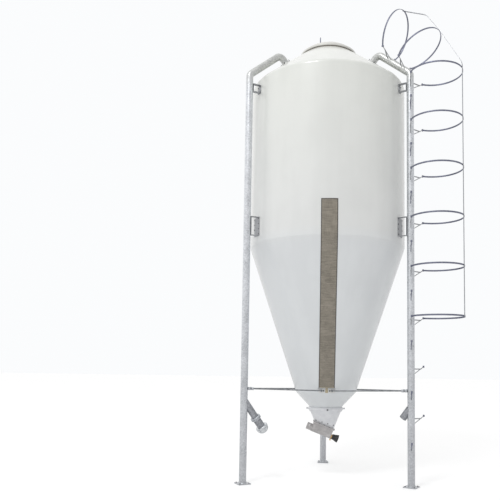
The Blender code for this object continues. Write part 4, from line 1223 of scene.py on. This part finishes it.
def funnel_ring(inset, steps, sides=96):
    """Rows from the round top to the foot, in equal shares."""
    angle = (np.arange(sides) + 0.5) * 2 * np.pi / sides
    cosine, sine = np.cos(angle), np.sin(angle)
    radius = FUNNEL_TOP_RADIUS - inset
    heights = np.full(sides, COLLAR_LOW_Z - GAP)
    top = AXIS + np.stack([radius * cosine, radius * sine, heights], -1)
    stretch = (cosine**4 + sine**4) ** -0.25
    half_length, half_width = (half - inset for half in FUNNEL_FOOT)
    above = BOOT_HEIGHT / 2 + FLANGE_THICKNESS + GAP
    foot = in_boot(half_length * cosine * stretch, half_width * sine * stretch, above)
    share = np.linspace(0, 1, steps + 1)[:, None, None]
    return top * (1 - share) + foot * share


def make_funnel():
    outer, inner = funnel_ring(0, FUNNEL_ROWS), funnel_ring(SHEET, FUNNEL_ROWS)
    grid = np.concatenate([outer, inner[::-1]])
    rivets = []
    middle = outer.mean((0, 1))
    for column in RIVET_COLUMNS:
        where = outer[RIVET_ROW, column]
        out = unit((where - middle) * (1, 1, 0) + UP * -0.02)
        rivets.append(spun(RIVET_DOME, where, out, 16))
    put("sheet_funnel", [skin(grid, loop=True)], funnel_paint, replaces=("outlet_funnel",))
    put("funnel_rivets", rivets, bolt_zinc)


make_collar()
make_funnel()
print("collar and funnel faces", made["clamp_collar"], made["sheet_funnel"])

# %% [markdown]
# ## Auger boot
#
# The boot is a folded trough that the auger lies in: flat sides that lean in to a round
# bottom, an end plate at each end, and a flange on top that the funnel is bolted to. Its
# outline is carried a little past each end plate, so that their edges show.

# %% Boot
BOOT_TOP_WIDTH = 0.170
BOOT_ROUND = 0.052
TROUGH_Z = -BOOT_HEIGHT / 2 + BOOT_ROUND
END_PLATE = 0.004
END_PROUD = 0.002
BOOT_FLANGE = (0.300, 0.210)
FLANGE_FOLD = (0.292, 0.012)
FOLD_REACH = 0.1035
FLANGE_BOLT_ROWS = (-0.136, -0.068, 0, 0.068, 0.136)
FLANGE_BOLT_REACH = 0.093
FLANGE_BOLT = 0.0065


def trough_outline(grow, steps=24):
    """(y, z): the two top corners, then the round bottom from one side to the other."""
    angle = np.radians(np.linspace(165, 375, steps + 1))
    radius = BOOT_ROUND + grow
    bottom = np.stack([radius * np.cos(angle), TROUGH_Z + radius * np.sin(angle)], -1)
    half = BOOT_TOP_WIDTH / 2 + grow
    return np.vstack([[(half, BOOT_HEIGHT / 2), (-half, BOOT_HEIGHT / 2)], bottom])


def trough(start, end, grow):
    outline = trough_outline(grow)
    x = np.array([start, end])[:, None]
    return skin(in_boot(x, outline[None, :, 0], outline[None, :, 1]))


def make_boot():
    half = BOOT_LENGTH / 2
    shapes = [trough(-half + END_PROUD, half - END_PROUD, -END_PROUD)]
    shapes += [trough(-half, -half + END_PLATE, 0), trough(half - END_PLATE, half, 0)]
    seat = in_boot(0, 0, BOOT_HEIGHT / 2)
    flange = rounded_rectangle(*BOOT_FLANGE, 0.008)
    shapes.append(pressed(flange, FLANGE_THICKNESS, 0.001, seat, BOOT_DOWN, ACROSS))
    length, depth = FLANGE_FOLD
    for y in (-FOLD_REACH, FOLD_REACH):
        fold = rounded_rectangle(length, SHEET, 0.001, 2)
        under = in_boot(0, y, BOOT_HEIGHT / 2 - depth)
        shapes.append(pressed(fold, depth, 0.0004, under, BOOT_DOWN, ACROSS))
    put("boot_trough", shapes, boot_sheet, replaces=("auger_boot",))
    bolts = []
    for x in FLANGE_BOLT_ROWS:
        for y in (-FLANGE_BOLT_REACH, FLANGE_BOLT_REACH):
            bolts += bolt(in_boot(x, y, BOOT_HEIGHT / 2 + FLANGE_THICKNESS), BOOT_UP, FLANGE_BOLT)
    put("boot_flange_bolts", bolts, bolt_zinc)


make_boot()
print("boot faces", made["boot_trough"])

# %% [markdown]
# ### Socket, bearing and knob
#
# A beaded socket sticks out of the boot's high end. At the low end the auger's shaft comes
# out through a brass bearing with a drain nipple under it, and ends in a black
# knob that flares like a trumpet. Its grips are a cosine of eight waves on the radius.

# %% Socket, bearing and knob
SOCKET_OUTER = 0.045
SOCKET_INNER = 0.038
SOCKET_LENGTH = 0.070
SHAFT_DROP = 0.015
BEARING_LENGTH = 0.016
BEARING = [(0, 0.030), (0.005, 0.030), (0.006, 0.024), (BEARING_LENGTH, 0.024)]
NIPPLE_PLACE = 0.008
NIPPLE = [(0.020, 0.0065), (0.042, 0.0065), (0.043, 0.0085), (0.056, 0.0085), (0.058, 0.006)]
KNOB_LENGTH = 0.086
KNOB_RADIUS = 0.051
KNOB_NECK = 0.034
KNOB_FLARE = 1.6
KNOB_WAVES = 8


def bead(centre, height, width=0.010, steps=6):
    """Half a sine wave on top of a radius."""
    x = np.linspace(-width / 2, width / 2, steps + 1)
    return [(centre + a, SOCKET_OUTER + height * math.cos(math.pi * a / width)) for a in x]


def make_boot_ends():
    start = in_boot(-BOOT_LENGTH / 2 - GAP, 0, TROUGH_Z)
    profile = [(0, SOCKET_OUTER)] + bead(0.030, 0.002) + bead(SOCKET_LENGTH - 0.007, 0.003)
    profile += [(SOCKET_LENGTH, SOCKET_OUTER), (SOCKET_LENGTH, SOCKET_INNER), (0, SOCKET_INNER)]
    socket = spun(profile, start, -BOOT_DOWN, 64, loop=True)
    put("beaded_socket", [socket], boot_sheet, replaces=("hose_socket",))

    start = in_boot(BOOT_LENGTH / 2 + GAP, 0, TROUGH_Z - SHAFT_DROP)
    shapes = [spun(BEARING, start, BOOT_DOWN, 36)]
    shapes.append(spun(NIPPLE, start + BOOT_DOWN * NIPPLE_PLACE, -BOOT_UP, 6))
    put("brass_bearing", shapes, grainy["turned_brass"], replaces=("end_bearing",))

    start = start + BOOT_DOWN * (BEARING_LENGTH + GAP)
    share = np.linspace(0, 1, 15)
    flare = KNOB_NECK + (KNOB_RADIUS - KNOB_NECK) * share**KNOB_FLARE
    profile = np.stack([share * (KNOB_LENGTH - 0.012), flare], -1)
    rim = [(KNOB_LENGTH - 0.005, KNOB_RADIUS), (KNOB_LENGTH - 0.001, KNOB_RADIUS - 0.004)]
    rim += [(KNOB_LENGTH, KNOB_RADIUS - 0.009), (KNOB_LENGTH - 0.004, 0.030), (KNOB_LENGTH, 0.012)]
    profile = np.vstack([profile, rim])
    grip = spun(profile, start, BOOT_DOWN, 96, wave=lambda t: 0.98 + 0.02 * np.cos(KNOB_WAVES * t))
    put("black_knob", [grip], grainy["moulded_black"], replaces=("end_knob",))


make_boot_ends()
print("boot ends", made["beaded_socket"], made["brass_bearing"], made["black_knob"])

# %% [markdown]
# ## Fill and vent branches
#
# Low on the left leg a branch slopes down to the fill coupling, which a cast cap closes.
# The right leg has a short open branch, where the air comes out. Both are turned about
# their own sloping line. The vent's wall is a closed profile, so that one can look in.

# %% Branches
BRANCH_SLOPE = math.radians(53.5)
BRANCH_RADIUS = 0.0438
FILL_BRANCH_Z = 1.006
FILL_BRANCH_END = 0.255
COUPLING_RADIUS = 0.065
COUPLING_LENGTH = 0.036
NECK_RADIUS = 0.049
NECK_END = 0.398
CAP_RADIUS = 0.078
CAP_LENGTH = 0.098
CAP_RIM = 0.026
VENT_BRANCH_Z = 0.958
VENT_BRANCH_END = 0.180
PIPE_WALL = 0.0032


def branch(side, z):
    azimuth = LEG_AZIMUTHS[side]
    down = -outward(azimuth) * math.cos(BRANCH_SLOPE) - UP * math.sin(BRANCH_SLOPE)
    return place(azimuth, LEG_CIRCLE, z), down


def make_fill():
    start, down = branch("left", FILL_BRANCH_Z)
    tube = spun([(0.02, BRANCH_RADIUS), (FILL_BRANCH_END, BRANCH_RADIUS)], start, down, 48)
    # The branch's darker zinc is painted shade.
    put("fill_branch_pipe", [tube], branch_zinc_painted_shade)

    near = FILL_BRANCH_END + GAP
    rim = near + COUPLING_LENGTH
    profile = [(near, COUPLING_RADIUS - 0.004), (near + 0.004, COUPLING_RADIUS)]
    profile += [(near + 0.013, COUPLING_RADIUS), (near + 0.016, COUPLING_RADIUS - 0.008)]
    profile += [(rim - 0.014, COUPLING_RADIUS - 0.008), (rim - 0.011, COUPLING_RADIUS)]
    profile += [(rim - 0.003, COUPLING_RADIUS), (rim, COUPLING_RADIUS - 0.004)]
    body = [spun(profile, start, down, 64)]
    cast = grainy["cast_aluminium"]
    put("fill_coupling_body", body, cast, replaces=("fill_coupling",))
    neck = [(rim - 0.004, NECK_RADIUS - 0.003), (rim + 0.004, NECK_RADIUS), (NECK_END, NECK_RADIUS)]
    # The neck's darker zinc is painted shade.
    put("fill_neck_pipe", [spun(neck, start, down, 48)], branch_zinc_painted_shade)

    near = NECK_END + GAP
    skirt = [(near, CAP_RADIUS - 0.005), (near + 0.004, CAP_RADIUS), (near + CAP_RIM, CAP_RADIUS)]
    angle = np.linspace(0.12, np.pi / 2, 18)
    rise = near + CAP_RIM + 0.002 + (CAP_LENGTH - CAP_RIM - 0.002) * np.sin(angle)
    dome = np.stack([rise, (CAP_RADIUS - 0.003) * np.cos(angle)], -1)
    shapes = [spun(np.vstack([skirt, dome]), start, down, 72)]
    across = sideways(LEG_AZIMUTHS["left"])
    for sign in (-1, 1):
        centre = start + down * (near + 0.004) + across * sign * (CAP_RADIUS + 0.002)
        lug = rounded_rectangle(0.020, 0.020, 0.006)
        shapes.append(pressed(lug, 0.024, 0.002, centre, across, np.cross(down, across)))
    put("fill_cap_dome", shapes, grainy["cap_aluminium"], replaces=("fill_cap",))


def make_vent():
    start, down = branch("right", VENT_BRANCH_Z)
    bore = BRANCH_RADIUS - PIPE_WALL
    end = VENT_BRANCH_END
    profile = [(0.03, BRANCH_RADIUS), (end - 0.0008, BRANCH_RADIUS), (end, BRANCH_RADIUS - 0.0008)]
    profile += [(end, bore), (0.062, bore), (0.060, 0.0)]
    profile += [(0.03, 0.0)]
    # The vent branch's darker zinc is painted shade.
    put("vent_branch_pipe", [spun(profile, start, down, 48)], branch_zinc_painted_shade)


make_fill()
make_vent()
print("branches", made["fill_coupling_body"], made["fill_cap_dome"], made["vent_branch_pipe"])

# %% [markdown]
# ## Ladder steps
#
# The right leg is the ladder: short arms stick out of it, a foot's width each, on alternate
# sides and 0.3 m apart. An arm is a level tread with a brace under it that runs on up to a
# blunt tip, which keeps the foot from sliding off. The near ones have a darker zinc than the
# far ones, and both tones are painted shade.

# %% Steps
HOOP_TOP_Z = 5.041
HOOP_STEP = 0.600
HOOP_COUNT = 6
HOOP_RADIUS = 0.319
STEP_SIDE = 0.203
STEP_OUT = 0.085
STEP_ROD = 0.007
BRACE_ROD = 0.005
TREAD_DROP = 0.028
TREAD_REACH = 0.80
BRACE_DROP = 0.095
TIP_RADIUS = 0.011
KNOB_HALF = 0.013
STEP_TIP_HEIGHT = 0.014
LOWEST_STEP_Z = 0.541
LADDER_OUT = outward(LEG_AZIMUTHS["right"])
LADDER_SIDE = sideways(LEG_AZIMUTHS["right"])


def arm(foot, out, along, sign, begin):
    """A tread and its brace. Point = foot + share of the reach + rise along the pipe."""
    reach = math.hypot(STEP_OUT, STEP_SIDE)

    def at(share, rise):
        return foot + out * STEP_OUT * share + LADDER_SIDE * sign * STEP_SIDE * share + along * rise

    tread = rod(at(begin / reach, -TREAD_DROP), at(TREAD_REACH, -TREAD_DROP), STEP_ROD)
    brace = rod(at((begin + 0.003) / reach, -BRACE_DROP), at(1, 0), BRACE_ROD, 12)
    return [tread, brace]


def make_steps():
    near, far, tips = [], [], []
    lowest_hoop = HOOP_TOP_Z - (HOOP_COUNT - 1) * HOOP_STEP
    count = round((HOOP_TOP_Z - LOWEST_STEP_Z) / (HOOP_STEP / 2)) + 1
    for number in range(count):
        z = LOWEST_STEP_Z + number * HOOP_STEP / 2
        sign = -1 if number % 2 == 0 else 1
        if sign == 1 and z > lowest_hoop - GAP:
            continue
        foot = place(LEG_AZIMUTHS["right"], LEG_CIRCLE, z)
        shapes = near if sign == -1 else far
        shapes += arm(foot, LADDER_OUT, UP, sign, PIPE_RADIUS - 0.006)
        point = foot + LADDER_OUT * STEP_OUT + LADDER_SIDE * sign * STEP_SIDE
        tips.append(rod(point - UP * KNOB_HALF, point + UP * STEP_TIP_HEIGHT, TIP_RADIUS, 20))
    # Painted shade: the near steps are darker than the far ones.
    put("ladder_steps_near", near, dark_zinc)
    put("ladder_steps_far", far, bracket_zinc_painted_shade)
    put("ladder_step_tips", tips, dark_zinc)
    return count


print("step places", make_steps())

# %% [markdown]
# ## Cage
#
# Six level hoops and two that lean with the pipe's bend make the cage. A hoop is a flat bar
# carried along three quarters of a circle, open towards the leg, with a knob at each end
# where its arm is welded.

# %% Hoops
HOOP_WIDTH = 0.020
HOOP_THICKNESS = 0.005
TILTED_RADIUS = 0.305
TILTED_HOOPS = {
    "hoop_over_bend": (0.190, math.radians(32)),
    "hoop_over_roof": (0.415, math.radians(66.5)),
}


hoop_arms = []


def over_point(distance):
    """A point of the right pipe's axis, this far past the bend."""
    radius = LEG_CIRCLE - distance * math.cos(OVER_SLOPE)
    return place(LEG_AZIMUTHS["right"], radius, BEND_Z + distance * math.sin(OVER_SLOPE))


def make_hoop(node_name, foot, out, radius, along):
    """Circle points: foot + n * out + t * side, with n = middle + R cos a and t = R sin a."""
    middle = STEP_OUT + math.sqrt(radius**2 - STEP_SIDE**2)
    opening = math.atan2(STEP_SIDE, STEP_OUT - middle)
    angle = np.linspace(-opening, opening, 97)[:, None]
    path = foot + (middle + radius * np.cos(angle)) * out + radius * np.sin(angle) * LADDER_SIDE
    normal = np.cross(out, LADDER_SIDE)
    flat = rounded_rectangle(HOOP_WIDTH, HOOP_THICKNESS, 0.0015, 2)
    shapes = [carried(path, flat, normal)]
    lean = float(out @ along) * STEP_OUT / math.hypot(STEP_OUT, STEP_SIDE)
    begin = (PIPE_RADIUS + 2.5 * GAP) / math.sqrt(1 - lean**2) + STEP_ROD * abs(lean)
    for sign in (-1, 1):
        hoop_arms.extend(arm(foot, out, along, sign, begin))
        point = foot + out * STEP_OUT + LADDER_SIDE * sign * STEP_SIDE
        shapes.append(rod(point - normal * KNOB_HALF, point + normal * KNOB_HALF, TIP_RADIUS, 20))
    put(node_name + "_bar", shapes, dark_zinc, replaces=(node_name,))


for hoop_index in range(HOOP_COUNT):
    hoop_foot = place(LEG_AZIMUTHS["right"], LEG_CIRCLE, HOOP_TOP_Z - hoop_index * HOOP_STEP)
    make_hoop(f"hoop_{HOOP_COUNT - hoop_index}", hoop_foot, LADDER_OUT, HOOP_RADIUS, UP)
up_pipe = unit(over_point(1.0) - over_point(0.0))
for hoop_name, (distance, lean) in TILTED_HOOPS.items():
    lean_out = LADDER_OUT * math.cos(lean) + UP * math.sin(lean)
    make_hoop(hoop_name, over_point(distance), lean_out, TILTED_RADIUS, up_pipe)
# The arms' darker zinc is painted shade.
put("cage_hoop_arms", hoop_arms, bracket_zinc_painted_shade)
print("hoops", sum(name.startswith("hoop_") for name in made))

# %% [markdown]
# ### Back bar
#
# One flat bar runs down the backs of the hoops and bends over with the two that lean. It
# touches each hoop at its furthest point, so its path is found from the hoops' own places:
# a corner at the tip of the first leaning hoop, a knee behind the second and its end there.

# %% Back bar
BAR_WIDTH = 0.025
BAR_THICKNESS = 0.005
BAR_LOW_Z = 2.030
BAR_BEND_Z = 5.100
BAR_KNEE = (1.385, 5.830)
BAR_BEND_RADIUS = 0.160
BAR_SLACK = 0.001


def hoop_reach(radius):
    return STEP_OUT + math.sqrt(radius**2 - STEP_SIDE**2) + radius + HOOP_THICKNESS / 2


def make_back_bar():
    azimuth = LEG_AZIMUTHS["right"]
    clear = GAP + BAR_THICKNESS / 2
    straight = LEG_CIRCLE + hoop_reach(HOOP_RADIUS) + clear
    tips = []
    for distance, lean in TILTED_HOOPS.values():
        direction = LADDER_OUT * math.cos(lean) + UP * math.sin(lean)
        reach = hoop_reach(TILTED_RADIUS) + clear + BAR_SLACK
        tips.append(over_point(distance) + direction * reach)
    knee = place(azimuth, *BAR_KNEE)
    past = tips[1] + unit(tips[1] - knee) * 0.030
    foot, bend = place(azimuth, [straight] * 2, [BAR_LOW_Z, BAR_BEND_Z])
    path = rounded([foot, bend, tips[0], knee, past], [BAR_BEND_RADIUS] * 3, 10)
    flat = rounded_rectangle(BAR_WIDTH, BAR_THICKNESS, 0.0015, 2)
    bar = carried(path, flat, LADDER_SIDE)
    # The bar's darker zinc is painted shade.
    put("cage_back_bar", [bar], branch_zinc_painted_shade, replaces=("cage_bar",))


make_back_bar()
print("back bar faces", made["cage_back_bar"])

# %% [markdown]
# ## The solids that stay
#
# The tie rods and the hinge are right as they are, so they keep their own meshes and only
# get a better finish in their material slots.

# %% Finishes on the kept solids
for kept_name, finish in kept.items():
    for material_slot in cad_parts[kept_name].material_slots:
        material_slot.material = finish
print("kept", sorted(kept))

# %% [markdown]
# ## Pieces and faces
#
# The last line prints how many pieces were made and how many faces they have in all.

# %% Pieces and faces
print("pieces", len(made), "faces", sum(made.values()))
